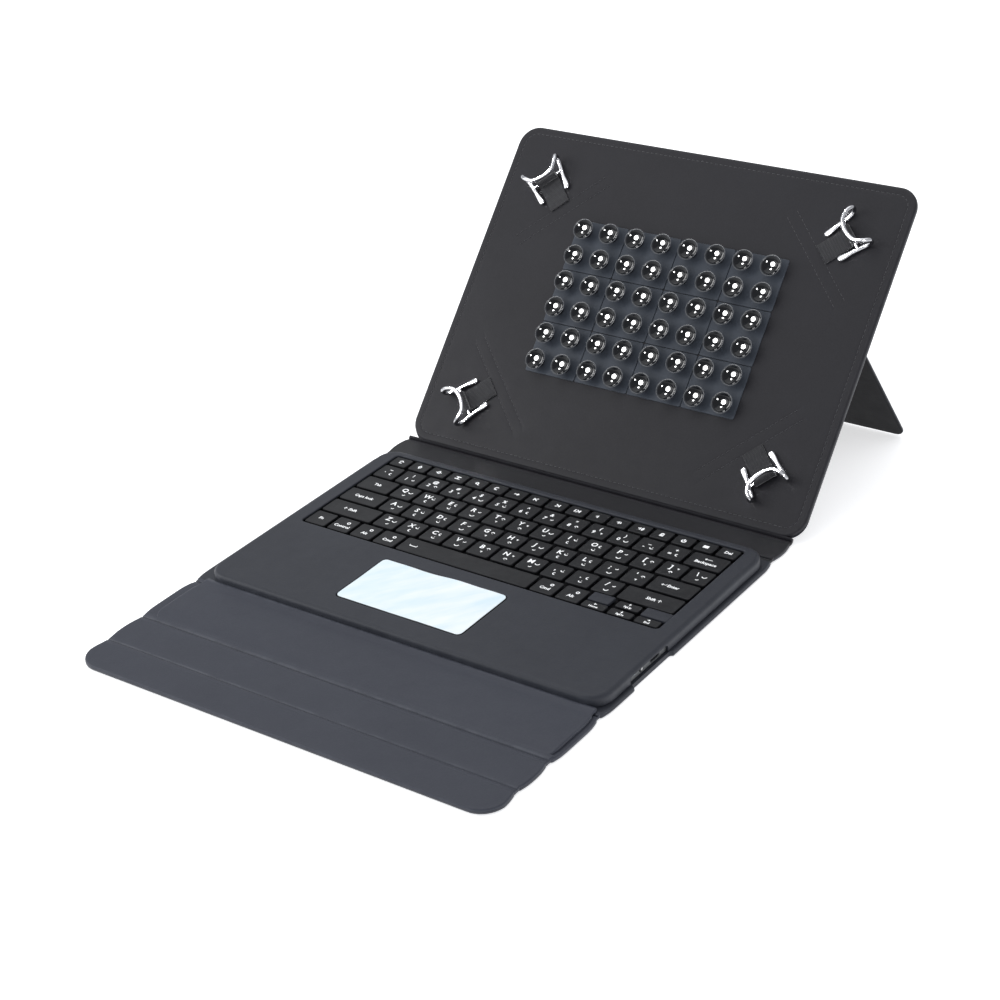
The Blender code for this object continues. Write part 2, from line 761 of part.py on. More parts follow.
def make_strap(label, centre, across, outwards, looks, pivot):
    """Elastic strap of a hook: it lies on the lining and loops round the hook's low bar."""
    inner = BAR_RADIUS + LAYER_GAP
    outer = BAR_HEIGHT - STRAP_BOTTOM
    top = STRAP_BOTTOM + STRAP_THICKNESS
    meet = 180 + math.degrees(math.asin((BAR_HEIGHT - top) / outer))
    loop = arc_points((BAR_OUT, BAR_HEIGHT), outer, -90, meet, 16)
    outline = [(STRAP_START, STRAP_BOTTOM), *loop, (STRAP_START, top)]
    hole = circle_outline(BAR_OUT, BAR_HEIGHT, inner, 12)
    strap = slab(outline, -STRAP_HALF_WIDTH, STRAP_HALF_WIDTH, [hole])
    turn = Matrix((outwards, (0, 0, 1), across)).transposed().to_4x4()
    bmesh.ops.transform(strap, matrix=Matrix.Translation(centre) @ turn, verts=strap.verts)
    add_object("hook_strap_" + label, strap, looks["elastic"], pivot, tuple(centre))


def make_hooks(looks, pivot):
    for label, side_x, side_y in (
        ("top_left", -1, 1),
        ("top_right", 1, 1),
        ("bottom_left", -1, -1),
        ("bottom_right", 1, -1),
    ):
        make_hook(label, side_x, side_y, looks, pivot)


def make_kickstand(looks, panel_pivot):
    pivot = empty("kickstand_pivot", LEG_AXIS_Y, LEG_AXIS_Z, LEG_ANGLE - PANEL_TILT, panel_pivot)
    half = LEG_HALF_WIDTH
    radii = (1.0, 1.0, LEG_CORNER, LEG_CORNER)
    outline = rounded_rectangle(-half, half, 0.4, LEG_LENGTH, radii)
    add_object("kickstand_cover", slab(outline, 1.5, 2.8), looks["leather"], pivot)
    radii = (1.0, 1.0, LEG_CORNER - 0.6, LEG_CORNER - 0.6)
    outline = rounded_rectangle(-half + 0.6, half - 0.6, 0.8, LEG_LENGTH - 0.2, radii)
    add_object("kickstand_board", slab(outline, 0.2, 1.3), looks["leather"], pivot)


def make_panel(looks, spine_pivot):
    pivot = empty("panel_pivot", PANEL_AXIS_Y - SPINE_AXIS, 0.0, PANEL_TILT, spine_pivot)
    make_panel_layers(looks, pivot)
    make_suction_sheet(looks, pivot)
    make_hooks(looks, pivot)
    make_kickstand(looks, pivot)


def make_looks():
    return {
        "leather": material("leather", (0.045, 0.047, 0.058), 0.62),
        "board": material("board", (0.20, 0.19, 0.17), 0.85),
        "shell_plastic": material("shell_plastic", (0.32, 0.33, 0.35), 0.45),
        "black_plastic": material("black_plastic", (0.012, 0.012, 0.013), 0.4),
        "key_plastic": material("key_plastic", (0.018, 0.018, 0.021), 0.5),
        "film": material("film", (0.02, 0.02, 0.022), 0.6),
        "circuit": material("circuit", (0.02, 0.12, 0.06), 0.5),
        "foil": material("foil", (0.55, 0.55, 0.57), 0.35, 0.6),
        "touch_film": material("touch_film", (0.72, 0.85, 0.90), 0.25),
        "steel": material("steel", (0.62, 0.62, 0.63), 0.3, 1.0),
        "magnet": material("magnet", (0.5, 0.5, 0.52), 0.3, 1.0),
        "chrome": material("chrome", (0.85, 0.85, 0.86), 0.12, 1.0),
        "silicone": material("silicone", (0.10, 0.11, 0.15), 0.15),
        "elastic": material("elastic", (0.012, 0.012, 0.013), 0.9),
        "light_pipe": material("light_pipe", (0.75, 0.85, 0.95), 0.2),
    }


def main():
    clear_scene()
    looks = make_looks()
    make_base(looks)
    make_tray(looks)
    make_skin(looks)
    make_electronics(looks)
    make_touchpad(looks)
    make_side_controls(looks)
    make_keys(looks)
    make_flap_1(looks)
    make_flap_2(looks)
    make_flap_3(looks)
    make_panel(looks, make_spine(looks))


main()
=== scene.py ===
"""Looks of the tablet keyboard case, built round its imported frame.

X is the user's right, Y points away from the user and Z is up. Sizes are in millimetres, and
MM turns them into metres. Every place on the case comes from the frame's boxes and joints.
"""

import json
import math

import bpy
import numpy as np
from mathutils import Matrix, Vector
from mathutils.geometry import delaunay_2d_cdt

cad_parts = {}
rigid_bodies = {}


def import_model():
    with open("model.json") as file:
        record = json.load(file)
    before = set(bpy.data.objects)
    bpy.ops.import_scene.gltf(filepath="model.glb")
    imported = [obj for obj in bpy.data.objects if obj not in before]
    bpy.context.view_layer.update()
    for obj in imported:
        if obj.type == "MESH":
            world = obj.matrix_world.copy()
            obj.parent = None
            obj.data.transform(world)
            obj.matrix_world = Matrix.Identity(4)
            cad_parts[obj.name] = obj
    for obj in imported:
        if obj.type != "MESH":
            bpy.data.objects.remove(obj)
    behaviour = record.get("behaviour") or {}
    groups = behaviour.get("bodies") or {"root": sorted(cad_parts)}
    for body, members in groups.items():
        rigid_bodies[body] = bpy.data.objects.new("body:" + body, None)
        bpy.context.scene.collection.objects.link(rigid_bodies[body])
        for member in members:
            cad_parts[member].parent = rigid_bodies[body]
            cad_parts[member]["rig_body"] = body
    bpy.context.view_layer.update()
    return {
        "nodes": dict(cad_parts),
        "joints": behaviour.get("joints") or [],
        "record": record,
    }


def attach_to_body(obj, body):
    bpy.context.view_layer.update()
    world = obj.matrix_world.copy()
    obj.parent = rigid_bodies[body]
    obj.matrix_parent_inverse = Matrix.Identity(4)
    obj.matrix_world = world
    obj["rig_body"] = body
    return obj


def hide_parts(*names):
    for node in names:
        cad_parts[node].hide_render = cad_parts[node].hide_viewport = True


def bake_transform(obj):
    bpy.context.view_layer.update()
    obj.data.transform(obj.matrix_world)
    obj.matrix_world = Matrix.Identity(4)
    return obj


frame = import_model()

MM = 0.001

# Leather
SEAM = 1.58  # height where the cover and its lining meet
CORNER = 13.0  # rounded corners of the deck and the panel
LAYER_CORNER = 1.5
FLAP_CORNER = 14.0
EDGE_STEP = 2.5
FIELD_STEP = 7.0
NOTCH_DEPTH = 1.5
NOTCH_WIDTH = 6.0
HALF_WIDTH = 140.0
STRIP_STEPS = 40
STRIP_TRIM = 0.8  # length of a fold strip's thinned ends

# Keyboard
KEY_PITCH = 17.0
KEY_GAP = 2.2
FUNCTION_KEYS = 17
WELL_EDGE = 1.5
LETTER = 3.9
WORD = 2.5
LINE = 0.56
FINE_LINE = 0.32
ICON_LINE = 1.3 * LINE
ICON_SIZE = 1.45
INK = 0.03

# Stitching
STITCH_PITCH = 3.3
STITCH_LENGTH = 2.3
STITCH_RADIUS = 0.2
RIM_STITCH = 5.0
SEWN_INSETS = (2.4, 3.6, 4.4, 4.75, 5.0, 5.25, 5.6, 6.4, 8.0)  # rings of points, close where the rim is sewn
GROOVE = 0.1

# Hooks, measured from the middle of each hook: across, outwards and above the lining
HOOK_HALF = (
    (-9.5, -16.4, 1.75), (-10.4, -7.0, 1.75), (-11.4, 1.0, 1.8), (-12.3, 4.4, 3.9),
    (-12.4, 4.4, 7.4), (-11.2, 0.8, 9.3), (-7.4, -3.6, 9.4), (0.0, -5.2, 9.4),
)
WIRE_RADIUS = 1.4
BAR_RADIUS = 1.0
BAR_OUT = -4.5
BAR_HEIGHT = 2.6
BAR_REACH = 10.6
STRAP_TO_CENTRE = 2.3
STRAP_HALF_WIDTH = 6.8
STRAP_THICK = 0.95
STRAP_LOOP = 2.15
STRAP_LIFT = 0.15
STRAP_END = -25.2
POCKET_LINES = (-25.5, -32.6)
POCKET_REACH = 35.0

# Suction cups: columns and rows, and one cup's profile of radius and height
CUP_COLUMNS, CUP_ROWS = 8, 6
TILE = 0.6
TILE_RIM = 1.6
CUP_PROFILE = (
    (0, 0.6), (3.7, 0.6), (3.58, 1.0), (3.55, 1.8), (3.6, 2.6), (4.2, 3.5), (5.2, 4.6), (6.2, 5.6),
    (6.7, 6.05), (6.82, 6.25), (6.7, 6.38), (6.4, 6.36), (6.2, 6.24), (5.5, 5.62), (4.4, 4.86),
    (3.0, 4.26), (1.5, 3.95), (0, 3.86),
)

# Camera: its place, the direction it looks in and its roll in degrees
CAMERA_PLACE = (0.6629, -0.8555, 0.6298)
CAMERA_DIRECTION = (-0.5373, 0.6944, -0.4787)
CAMERA_ROLL = 4.6
CAMERA_LENS = 78.84


# Places read from the frame


def points_of(node, place=None):
    """A CAD node's points in mm, in the frame of place."""
    back = (place or Matrix()).inverted()
    return np.array([back @ (v.co / MM) for v in frame["nodes"][node].data.vertices])


def limits_of(node, place=None):
    """x0, x1, y0, y1, z0, z1 of a CAD node in mm, in the frame of place."""
    points = points_of(node, place)
    low, high = points.min(0), points.max(0)
    return low[0], high[0], low[1], high[1], low[2], high[2]


def joint_place(name):
    joint = next(j for j in frame["joints"] if j["name"] == name)
    return Vector(joint["pos_m"]) / MM


def panel_place():
    """Frame of the back panel: Y up the panel, Z out of its face, from its fold axis."""
    seat = next(m for m in frame["record"]["mounts"] if m["name"] == "tablet_seat")
    tilt = math.atan2(-seat["axis"][1], seat["axis"][2])
    return Matrix.Translation(joint_place("back_panel_fold")) @ Matrix.Rotation(tilt, 4, "X")


def leg_place():
    """Frame of the kickstand: Y down the leg, Z out of its outer face, from its hinge axis."""
    hinge = joint_place("kickstand_swing")
    points = points_of("kickstand_cover")[:, 1:]
    run = points - points.mean(0)
    direction = np.linalg.svd(run, full_matrices=False)[2][0]
    if direction @ (points.mean(0) - np.array(hinge)[1:]) < 0:
        direction = -direction
    angle = math.atan2(direction[1], direction[0])
    return Matrix.Translation(hinge) @ Matrix.Rotation(angle, 4, "X")


PANEL = panel_place()
LEG = leg_place()


# Outlines


class Outline:
    """A rounded rectangle. Radii run from the lower left corner, counter-clockwise."""

    def __init__(self, x0, x1, y0, y1, radii):
        self.middle = ((x0 + x1) / 2, (y0 + y1) / 2)
        self.half = ((x1 - x0) / 2, (y1 - y0) / 2)
        self.radii = radii if isinstance(radii, tuple) else (radii,) * 4

    def inside(self, x, y):
        """Distance from the edge, positive inside."""
        dx, dy = x - self.middle[0], y - self.middle[1]
        lower_left, lower_right, upper_right, upper_left = self.radii
        upper = np.where(dx > 0, upper_right, upper_left)
        lower = np.where(dx > 0, lower_right, lower_left)
        radius = np.where(dy > 0, upper, lower)
        qx = np.abs(dx) - self.half[0] + radius
        qy = np.abs(dy) - self.half[1] + radius
        corner = np.hypot(np.maximum(qx, 0), np.maximum(qy, 0))
        return radius - corner - np.minimum(np.maximum(qx, qy), 0)

    def ring(self, inset, step=EDGE_STEP):
        """Closed counter-clockwise loop of points at this distance inside the edge."""
        half_x, half_y = self.half[0] - inset, self.half[1] - inset
        signs = ((-1, -1), (1, -1), (1, 1), (-1, 1))
        loop = []
        for number, (sx, sy) in enumerate(signs):
            radius = max(self.radii[number] - inset, 0.02)
            centre = (self.middle[0] + sx * (half_x - radius), self.middle[1] + sy * (half_y - radius))
            turns = max(3, round(self.radii[number] * math.pi / 2 / step) + 3)
            for i in range(turns + 1):
                angle = math.radians(180 + 90 * number + 90 * i / turns)
                loop.append((centre[0] + radius * math.cos(angle), centre[1] + radius * math.sin(angle)))
        return with_steps(loop, step)


def with_steps(loop, step):
    """The closed loop with points added along its long straight stretches."""
    made = []
    for (x0, y0), (x1, y1) in zip(loop, loop[1:] + loop[:1]):
        parts = max(1, round(math.hypot(x1 - x0, y1 - y0) / step))
        made += [(x0 + (x1 - x0) * i / parts, y0 + (y1 - y0) * i / parts) for i in range(parts)]
    return made


def rounding(distance, radius):
    """Drop below a flat top at this distance from an edge of this radius."""
    short = np.clip(radius - distance, 0, radius)
    return radius - np.sqrt(radius**2 - short**2)


def undulation(x, y, size, amount, phase=0.0):
    """Gentle unevenness of soft material."""
    u, v = x / size, y / size
    wave = np.sin(1.7 * u + phase) * np.sin(2.3 * v + 1.3 * phase)
    wave += 0.6 * np.sin(3.1 * u + 2.7 * v + 2 * phase) + 0.4 * np.sin(4.3 * v - 2.9 * u + phase)
    return amount * wave / 2


def near_line(x, y, start, end):
    """Distance of points from the segment between start and end."""
    sx, sy = start
    dx, dy = end[0] - sx, end[1] - sy
    along = np.clip(((x - sx) * dx + (y - sy) * dy) / (dx * dx + dy * dy), 0, 1)
    return np.hypot(x - sx - along * dx, y - sy - along * dy)


# Meshes


def add_piece(name, points, faces, look, slot, place=None, sharp=50.0, wear=None):
    """A mesh object from points in mm, in the frame of place."""
    matrix = np.array(place or Matrix())
    points = np.asarray(points, float) @ matrix[:3, :3].T + matrix[:3, 3]
    mesh = bpy.data.meshes.new(name)
    mesh.from_pydata((points * MM).tolist(), [], faces)
    mesh.validate()
    mesh.shade_smooth()
    mesh.set_sharp_from_angle(angle=math.radians(sharp))
    mesh.materials.append(look)
    # Share of the pale edge colour at each point: rub wear and painted highlight.
    if wear is not None:
        mesh.attributes.new("wear", "FLOAT", "POINT").data.foreach_set("value", np.asarray(wear, np.float32))
    made = bpy.data.objects.new(name, mesh)
    bpy.context.scene.collection.objects.link(made)
    return made


def attach(made, body, *nodes):
    """Rides the piece on a body, in place of these CAD nodes."""
    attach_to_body(made, body)
    if nodes:
        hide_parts(*nodes)
    return made


def walls(rings):
    """Quads between each loop of point numbers and the next."""
    return [
        [low[i], low[(i + 1) % len(low)], high[(i + 1) % len(low)], high[i]]
        for low, high in zip(rings, rings[1:])
        for i in range(len(low))
    ]


def closed(rings):
    """Walls between the rings, with a cap on the first and on the last."""
    return [*walls(rings), rings[0][::-1], rings[-1]]


def numbered(rings, size):
    """Loops of point numbers for this many equal rings, in order."""
    return [list(range(n * size, (n + 1) * size)) for n in range(rings)]


def triangulated(outline, insets, holes, lips, step, extra):
    """Points and triangles that fill the outline round its holes, finest along the edges."""
    points, edges = [], []
    for loop in [outline.ring(d) for d in insets] + [h.ring(-d) for h in holes for d in lips]:
        start, count = len(points), len(loop)
        points += loop
        edges += [(start + i, start + (i + 1) % count) for i in range(count)]
    points += list(extra)
    rows = int(2 * outline.half[1] / (step * 0.87)) + 2
    columns = int(2 * outline.half[0] / step) + 2
    field = [
        (
            outline.middle[0] - outline.half[0] + (i + 0.5 * (j % 2)) * step,
            outline.middle[1] - outline.half[1] + j * step * 0.87,
        )
        for j in range(rows)
        for i in range(columns)
    ]
    xy = np.array(field)
    keep = outline.inside(xy[:, 0], xy[:, 1]) > insets[-1] + step / 2
    for hole in holes:
        keep &= hole.inside(xy[:, 0], xy[:, 1]) < -lips[-1] - step / 2
    if len(extra):
        away = np.array(extra)
        gaps = np.hypot(xy[:, None, 0] - away[None, :, 0], xy[:, None, 1] - away[None, :, 1])
        keep &= gaps.min(1) > step / 3
    points += xy[keep].tolist()
    made = delaunay_2d_cdt([Vector(p) for p in points], edges, [], 0, 1e-5)
    flat = np.array([tuple(p) for p in made[0]])
    faces = np.array(made[2])
    centres = flat[faces].mean(1)
    solid = outline.inside(centres[:, 0], centres[:, 1]) > -0.2
    for hole in holes:
        solid &= hole.inside(centres[:, 0], centres[:, 1]) < 0
    return flat, faces[solid]


def slab_from(flat, faces, top, bottom):
    """A closed body between two height fields over the same triangles."""
    used, index = np.unique(faces, return_inverse=True)
    faces = index.reshape(faces.shape)
    x, y = flat[used].T
    count = len(used)
    points = np.concatenate([np.stack([x, y, top], 1), np.stack([x, y, bottom], 1)])
    sides = np.concatenate([faces[:, [0, 1]], faces[:, [1, 2]], faces[:, [2, 0]]])
    known = {tuple(side) for side in sides.tolist()}
    rim = [(a, b) for a, b in known if (b, a) not in known]
    solid = faces.tolist() + (faces[:, ::-1] + count).tolist()
    solid += [[a + count, b + count, b, a] for a, b in sorted(rim)]
    return points, solid


def sheet(name, outline, top, bottom, look, slot, place=None, holes=(), insets=None, lips=(0.0,),
          step=FIELD_STEP, extra=(), warp=None):
    """A leather or plastic layer. top and bottom give heights from x, y, edge and hole distance."""
    insets = insets or (0.0, 0.15, 0.4, 0.8, 1.3, 2.2, 4.0)
    flat, faces = triangulated(outline, insets, holes, lips, step, extra)
    used = np.unique(faces)
    x, y = flat[used].T
    edge = np.clip(outline.inside(x, y), 0, None)
    gap = np.full(len(x), 1e3)
    for hole in holes:
        gap = np.minimum(gap, np.clip(-hole.inside(x, y), 0, None))
    points, solid = slab_from(flat, faces, top(x, y, edge, gap), bottom(x, y, edge, gap))
    if warp:
        points = warp(points)
    # Paler towards the outer edge and the hole lips: partly rub wear, partly a painted edge highlight.
    wear = np.exp(-edge / 0.9) + np.exp(-gap / 0.7)
    return add_piece(name, points, solid, look, slot, place, wear=np.tile(wear, 2))


def tube(path, radii, sides):
    """A round bar along a path, closed at both ends."""
    path = np.asarray(path, float)
    run = np.gradient(path, axis=0)
    run /= np.linalg.norm(run, axis=1)[:, None]
    side = np.cross(run[0], (0.3, 0.5, 0.81))
    points = []
    for centre, forward, radius in zip(path, run, radii):
        side = side - forward * (side @ forward)
        side /= np.linalg.norm(side)
        other = np.cross(forward, side)
        for i in range(sides):
            angle = 2 * math.pi * i / sides
            points.append(centre + radius * (math.cos(angle) * side + math.sin(angle) * other))
    return np.array(points), closed(numbered(len(path), sides))


def lathe(profile, segments):
    """A closed body turned about Z from (radius, height) pairs that start and end on the axis."""
    points, rings = [], []
    for radius, height in profile:
        start = len(points)
        if radius < 1e-6:
            points.append((0, 0, height))
            rings.append([start] * segments)
            continue
        for i in range(segments):
            angle = 2 * math.pi * i / segments
            points.append((radius * math.cos(angle), radius * math.sin(angle), height))
        rings.append(list(range(start, start + segments)))
    return np.array(points), [list(dict.fromkeys(face)) for face in walls(rings)]


def prism(profile, x0, x1):
    """A closed bar along X with thinned ends, whose section is a closed loop of (y, z) points."""
    section = np.asarray(profile, float)
    middle = section.mean(0)
    stations = [(x0, 0.55), (x0 + STRIP_TRIM * 0.4, 0.85), (x0 + STRIP_TRIM, 1.0)]
    pitch = (x1 - x0 - 2 * STRIP_TRIM) / STRIP_STEPS
    stations += [(x0 + STRIP_TRIM + pitch * i, 1.0) for i in range(1, STRIP_STEPS)]
    stations += [(x1 - STRIP_TRIM, 1.0), (x1 - STRIP_TRIM * 0.4, 0.85), (x1, 0.55)]
    points = [(x, y, z) for x, share in stations for y, z in middle + (section - middle) * share]
    return np.array(points), flipped(closed(numbered(len(stations), len(section))))


def flipped(faces):
    return [face[::-1] for face in faces]


def joined(parts):
    """One list of points and faces from several."""
    points, faces = [], []
    for more_points, more_faces in parts:
        start = sum(len(p) for p in points)
        points.append(np.asarray(more_points, float))
        faces += [[i + start for i in face] for face in more_faces]
    return np.concatenate(points), faces


def smooth_curve(points, steps):
    """Catmull-Rom curve through the points."""
    p = [np.array(q, float) for q in points]
    ends = [2 * p[0] - p[1], *p, 2 * p[-1] - p[-2]]
    path = []
    for a, b, c, d in zip(ends, ends[1:], ends[2:], ends[3:]):
        for i in range(steps):
            t = i / steps
            bend = (2 * a - 5 * b + 4 * c - d) * t**2 + (3 * b - a - 3 * c + d) * t**3
            path.append(0.5 * (2 * b + (c - a) * t + bend))
    path.append(p[-1])
    return np.array(path)


# Materials


def feed(tree, node, **inputs):
    """Links or sets inputs of a node. In a name, _ stands for a space, or comes before a number."""
    for key, value in inputs.items():
        socket = node.inputs[int(key[1:]) if key[1:].isdigit() else key.replace("_", " ")]
        if isinstance(value, bpy.types.NodeSocket):
            tree.links.new(value, socket)
        elif socket.type == "RGBA":
            socket.default_value = (*value, 1.0)
        else:
            socket.default_value = value


def add_node(tree, kind, settings=None, **inputs):
    """A node with its settings and inputs."""
    node = tree.nodes.new("ShaderNode" + kind)
    for key, value in (settings or {}).items():
        setattr(node, key, value)
    feed(tree, node, **inputs)
    return node


def start_material(name):
    """A new material, its tree, its shader and its coordinates in mm."""
    made = bpy.data.materials.new(name)
    made.use_nodes = True
    tree = made.node_tree
    place = add_node(tree, "TexCoord").outputs["Object"]
    in_mm = add_node(tree, "VectorMath", {"operation": "SCALE"}, _0=place, Scale=1 / MM)
    return made, tree, tree.nodes["Principled BSDF"], in_mm.outputs["Vector"]


def noise(tree, place, scale, detail=2.0, rough=0.5):
    node = add_node(tree, "TexNoise", Vector=place, Scale=scale, Detail=detail, Roughness=rough)
    return node.outputs["Fac"]


def cells(tree, place, scale, feature="F1"):
    node = add_node(tree, "TexVoronoi", {"feature": feature}, Vector=place, Scale=scale)
    return node.outputs["Distance"]


def stretched(tree, place, factors):
    return add_node(tree, "VectorMath", {"operation": "MULTIPLY"}, _0=place, _1=factors).outputs[0]


def math_node(tree, operation, a, b=0.0, c=0.0):
    return add_node(tree, "Math", {"operation": operation}, _0=a, _1=b, _2=c).outputs[0]


def blend_colours(tree, share, a, b):
    return add_node(tree, "Mix", {"data_type": "RGBA"}, _0=share, _6=a, _7=b).outputs[2]


def spread(tree, value, low, high, new_low=0.0, new_high=1.0):
    node = add_node(
        tree, "MapRange", Value=value, From_Min=low, From_Max=high, To_Min=new_low, To_Max=new_high
    )
    return node.outputs[0]


def bump(tree, shader, height, depth_mm, strength, under=None):
    """Relief on top of the relief under it."""
    base = {} if under is None else {"Normal": under}
    node = add_node(tree, "Bump", Height=height, Distance=depth_mm * MM, Strength=strength, **base)
    feed(tree, shader, Normal=node.outputs["Normal"])
    return node.outputs["Normal"]


def leather(name, dark, light, worn_and_highlit, roughness=0.5, grain=0.9, shine=0.3):
    """Coated leather: pebbled grain, faint mottling, and paler along its edges, partly rub wear and partly a
    painted edge highlight.
    """
    made, tree, shader, place = start_material(name)
    pebble = cells(tree, place, 1 / grain, "SMOOTH_F1")
    pores = noise(tree, place, 3.2, 3.0)
    patches = noise(tree, place, 0.022, 4.0, 0.6)
    handling = noise(tree, place, 0.11, 3.0, 0.6)
    tone = math_node(tree, "MULTIPLY_ADD", pebble, 0.35, math_node(tree, "MULTIPLY", patches, 0.6))
    base = blend_colours(tree, spread(tree, tone, 0.2, 0.75), dark, light)
    # Pale edge and crease colour: partly rub wear, partly a painted edge highlight.
    edge_wear_and_highlight = add_node(tree, "Attribute", {"attribute_name": "wear"}).outputs["Fac"]
    wear_and_highlight_share = math_node(tree, "MULTIPLY", edge_wear_and_highlight, spread(tree, handling, 0.35, 0.7, 0.1, 0.6))
    base = blend_colours(tree, wear_and_highlight_share, base, worn_and_highlit)
    rough = spread(tree, handling, 0.3, 0.75, roughness - 0.03, roughness + 0.04)
    rough = math_node(tree, "SUBTRACT", rough, math_node(tree, "MULTIPLY", wear_and_highlight_share, 0.1))
    feed(tree, shader, Base_Color=base, Roughness=rough, Specular_IOR_Level=shine)
    feed(tree, shader, Sheen_Weight=0.1 * shine, Sheen_Roughness=0.5)
    first = bump(tree, shader, noise(tree, place, 0.16, 3.0), 0.2, 0.25)
    second = bump(tree, shader, pebble, 0.05, 0.55, first)
    bump(tree, shader, pores, 0.02, 0.5, second)
    return made


def key_plastic(name):
    """Matt keycap plastic with a fine spark-eroded texture and faint finger shine."""
    made, tree, shader, place = start_material(name)
    touch = noise(tree, place, 0.09, 3.0, 0.6)
    fine = noise(tree, place, 6.0, 2.0)
    base = blend_colours(tree, touch, (0.006, 0.0062, 0.0078), (0.011, 0.0115, 0.0135))
    feed(tree, shader, Base_Color=base, Roughness=spread(tree, touch, 0.3, 0.7, 0.52, 0.4))
    feed(tree, shader, Specular_IOR_Level=0.28)
    bump(tree, shader, fine, 0.015, 0.5)
    return made


def moulded_plastic(name, dark, light, roughness, shine=0.5):
    """Moulded plastic: fine texture, slight flow marks and uneven gloss."""
    made, tree, shader, place = start_material(name)
    marks = noise(tree, stretched(tree, place, (1.0, 0.15, 1.0)), 0.05, 3.0)
    base = blend_colours(tree, marks, dark, light)
    feed(tree, shader, Base_Color=base, Specular_IOR_Level=shine)
    feed(tree, shader, Roughness=spread(tree, marks, 0.3, 0.7, roughness - 0.06, roughness + 0.06))
    bump(tree, shader, noise(tree, place, 4.0, 2.0), 0.02, 0.5)
    return made


def brushed_metal(name, dark, light, roughness, stretch=(0.15, 3.0, 3.0)):
    """Metal with fine drawn lines and faint smears."""
    made, tree, shader, place = start_material(name)
    lines = noise(tree, stretched(tree, place, stretch), 2.0, 2.0)
    smears = noise(tree, place, 0.25, 2.0)
    base = blend_colours(tree, lines, dark, light)
    feed(tree, shader, Base_Color=base, Metallic=1.0)
    feed(tree, shader, Roughness=spread(tree, smears, 0.3, 0.7, roughness, roughness + 0.1))
    bump(tree, shader, lines, 0.01, 0.3)
    return made


def clear_rubber(name, tint, lip, roughness):
    """Clear rubber over dark leather: dark and glassy, paler along each lip as a painted rim highlight, with a
    little dust.
    """
    made, tree, shader, place = start_material(name)
    cloud = noise(tree, place, 0.2, 3.0)
    dust = spread(tree, noise(tree, place, 1.5, 4.0, 0.7), 0.62, 0.75)
    pale = tuple(min(1.0, 1.5 * c) for c in tint)
    base = blend_colours(tree, cloud, tint, pale)
    # Lip colour along each rim: a painted rim highlight.
    rim = add_node(tree, "Attribute", {"attribute_name": "wear"}).outputs["Fac"]
    base = blend_colours(tree, rim, base, lip)
    dull = math_node(tree, "MULTIPLY", dust, 0.06)
    dull = math_node(tree, "MULTIPLY_ADD", rim, 0.3, dull)
    rough = math_node(tree, "ADD", spread(tree, cloud, 0.3, 0.7, roughness, roughness + 0.03), dull)
    shine = math_node(tree, "MULTIPLY_ADD", rim, -0.19, 0.22)
    feed(tree, shader, Base_Color=base, Roughness=rough, Specular_IOR_Level=shine)
    bump(tree, shader, noise(tree, place, 0.5, 2.0), 0.03, 0.2)
    return made


def woven(name, dark, light, pitch):
    """Woven elastic: ribs of warp crossed by finer weft."""
    made, tree, shader, place = start_material(name)
    turned = add_node(tree, "Mapping", Vector=place, Rotation=(0.5, 0.4, math.radians(45))).outputs[0]
    ribs = add_node(tree, "TexWave", Vector=turned, Scale=0.32 / pitch).outputs["Fac"]
    across = add_node(tree, "TexWave", {"bands_direction": "Y"}, Vector=turned, Scale=0.5 / pitch)
    weave = math_node(tree, "MULTIPLY_ADD", across.outputs["Fac"], 0.5, ribs)
    base = blend_colours(tree, spread(tree, weave, 0.2, 1.3), dark, light)
    feed(tree, shader, Base_Color=base, Roughness=0.85, Sheen_Weight=0.3)
    bump(tree, shader, weave, 0.15, 0.8)
    return made


def protective_film(name):
    """Pale film over the touchpad: wide soft streaks, a few scratches and a high gloss."""
    made, tree, shader, place = start_material(name)
    turned = add_node(tree, "Mapping", Vector=place, Rotation=(0, 0, math.radians(35)))
    streaks = noise(tree, stretched(tree, turned.outputs[0], (0.09, 0.02, 0.0)), 1.0, 3.0, 0.55)
    cloudy = noise(tree, place, 0.03, 2.0)
    share = math_node(tree, "MULTIPLY_ADD", streaks, 0.8, math_node(tree, "MULTIPLY", cloudy, 0.3))
    clear = spread(tree, share, 0.4, 0.72)
    base = blend_colours(tree, clear, (0.72, 0.86, 0.93), (0.91, 0.96, 0.985))
    feed(tree, shader, Base_Color=base, Roughness=0.3, Coat_Weight=0.2, Coat_Roughness=0.08)
    ripple = bump(tree, shader, noise(tree, place, 0.05, 2.0), 0.35, 0.3)
    bump(tree, shader, noise(tree, place, 1.2, 2.0), 0.01, 0.3, ripple)
    return made


def ink(name):
    """White printed legend ink, slightly uneven, with a faint painted glow."""
    made, tree, shader, place = start_material(name)
    spots = noise(tree, place, 2.0, 3.0)
    base = blend_colours(tree, spots, (0.72, 0.73, 0.74), (0.92, 0.93, 0.94))
    # The emission is a painted glow on the print.
    feed(tree, shader, Base_Color=base, Roughness=0.55, Emission_Color=base, Emission_Strength=0.4)
    bump(tree, shader, spots, 0.01, 0.4)
    return made


def thread(name, dark, light):
    """Twisted sewing thread."""
    made, tree, shader, place = start_material(name)
    settings = {"bands_direction": "DIAGONAL"}
    twist = add_node(tree, "TexWave", settings, Vector=place, Scale=0.9, Distortion=1.0).outputs["Fac"]
    feed(tree, shader, Base_Color=blend_colours(tree, twist, dark, light), Roughness=0.65, Sheen_Weight=0.3)
    bump(tree, shader, twist, 0.06, 0.8)
    return made


def fibreboard(name):
    """Pressed grey fibre with flecks."""
    made, tree, shader, place = start_material(name)
    flecks = noise(tree, place, 1.4, 5.0, 0.7)
    base = blend_colours(tree, flecks, (0.14, 0.13, 0.11), (0.30, 0.28, 0.25))
    feed(tree, shader, Base_Color=base, Roughness=0.9)
    bump(tree, shader, flecks, 0.08, 0.7)
    return made


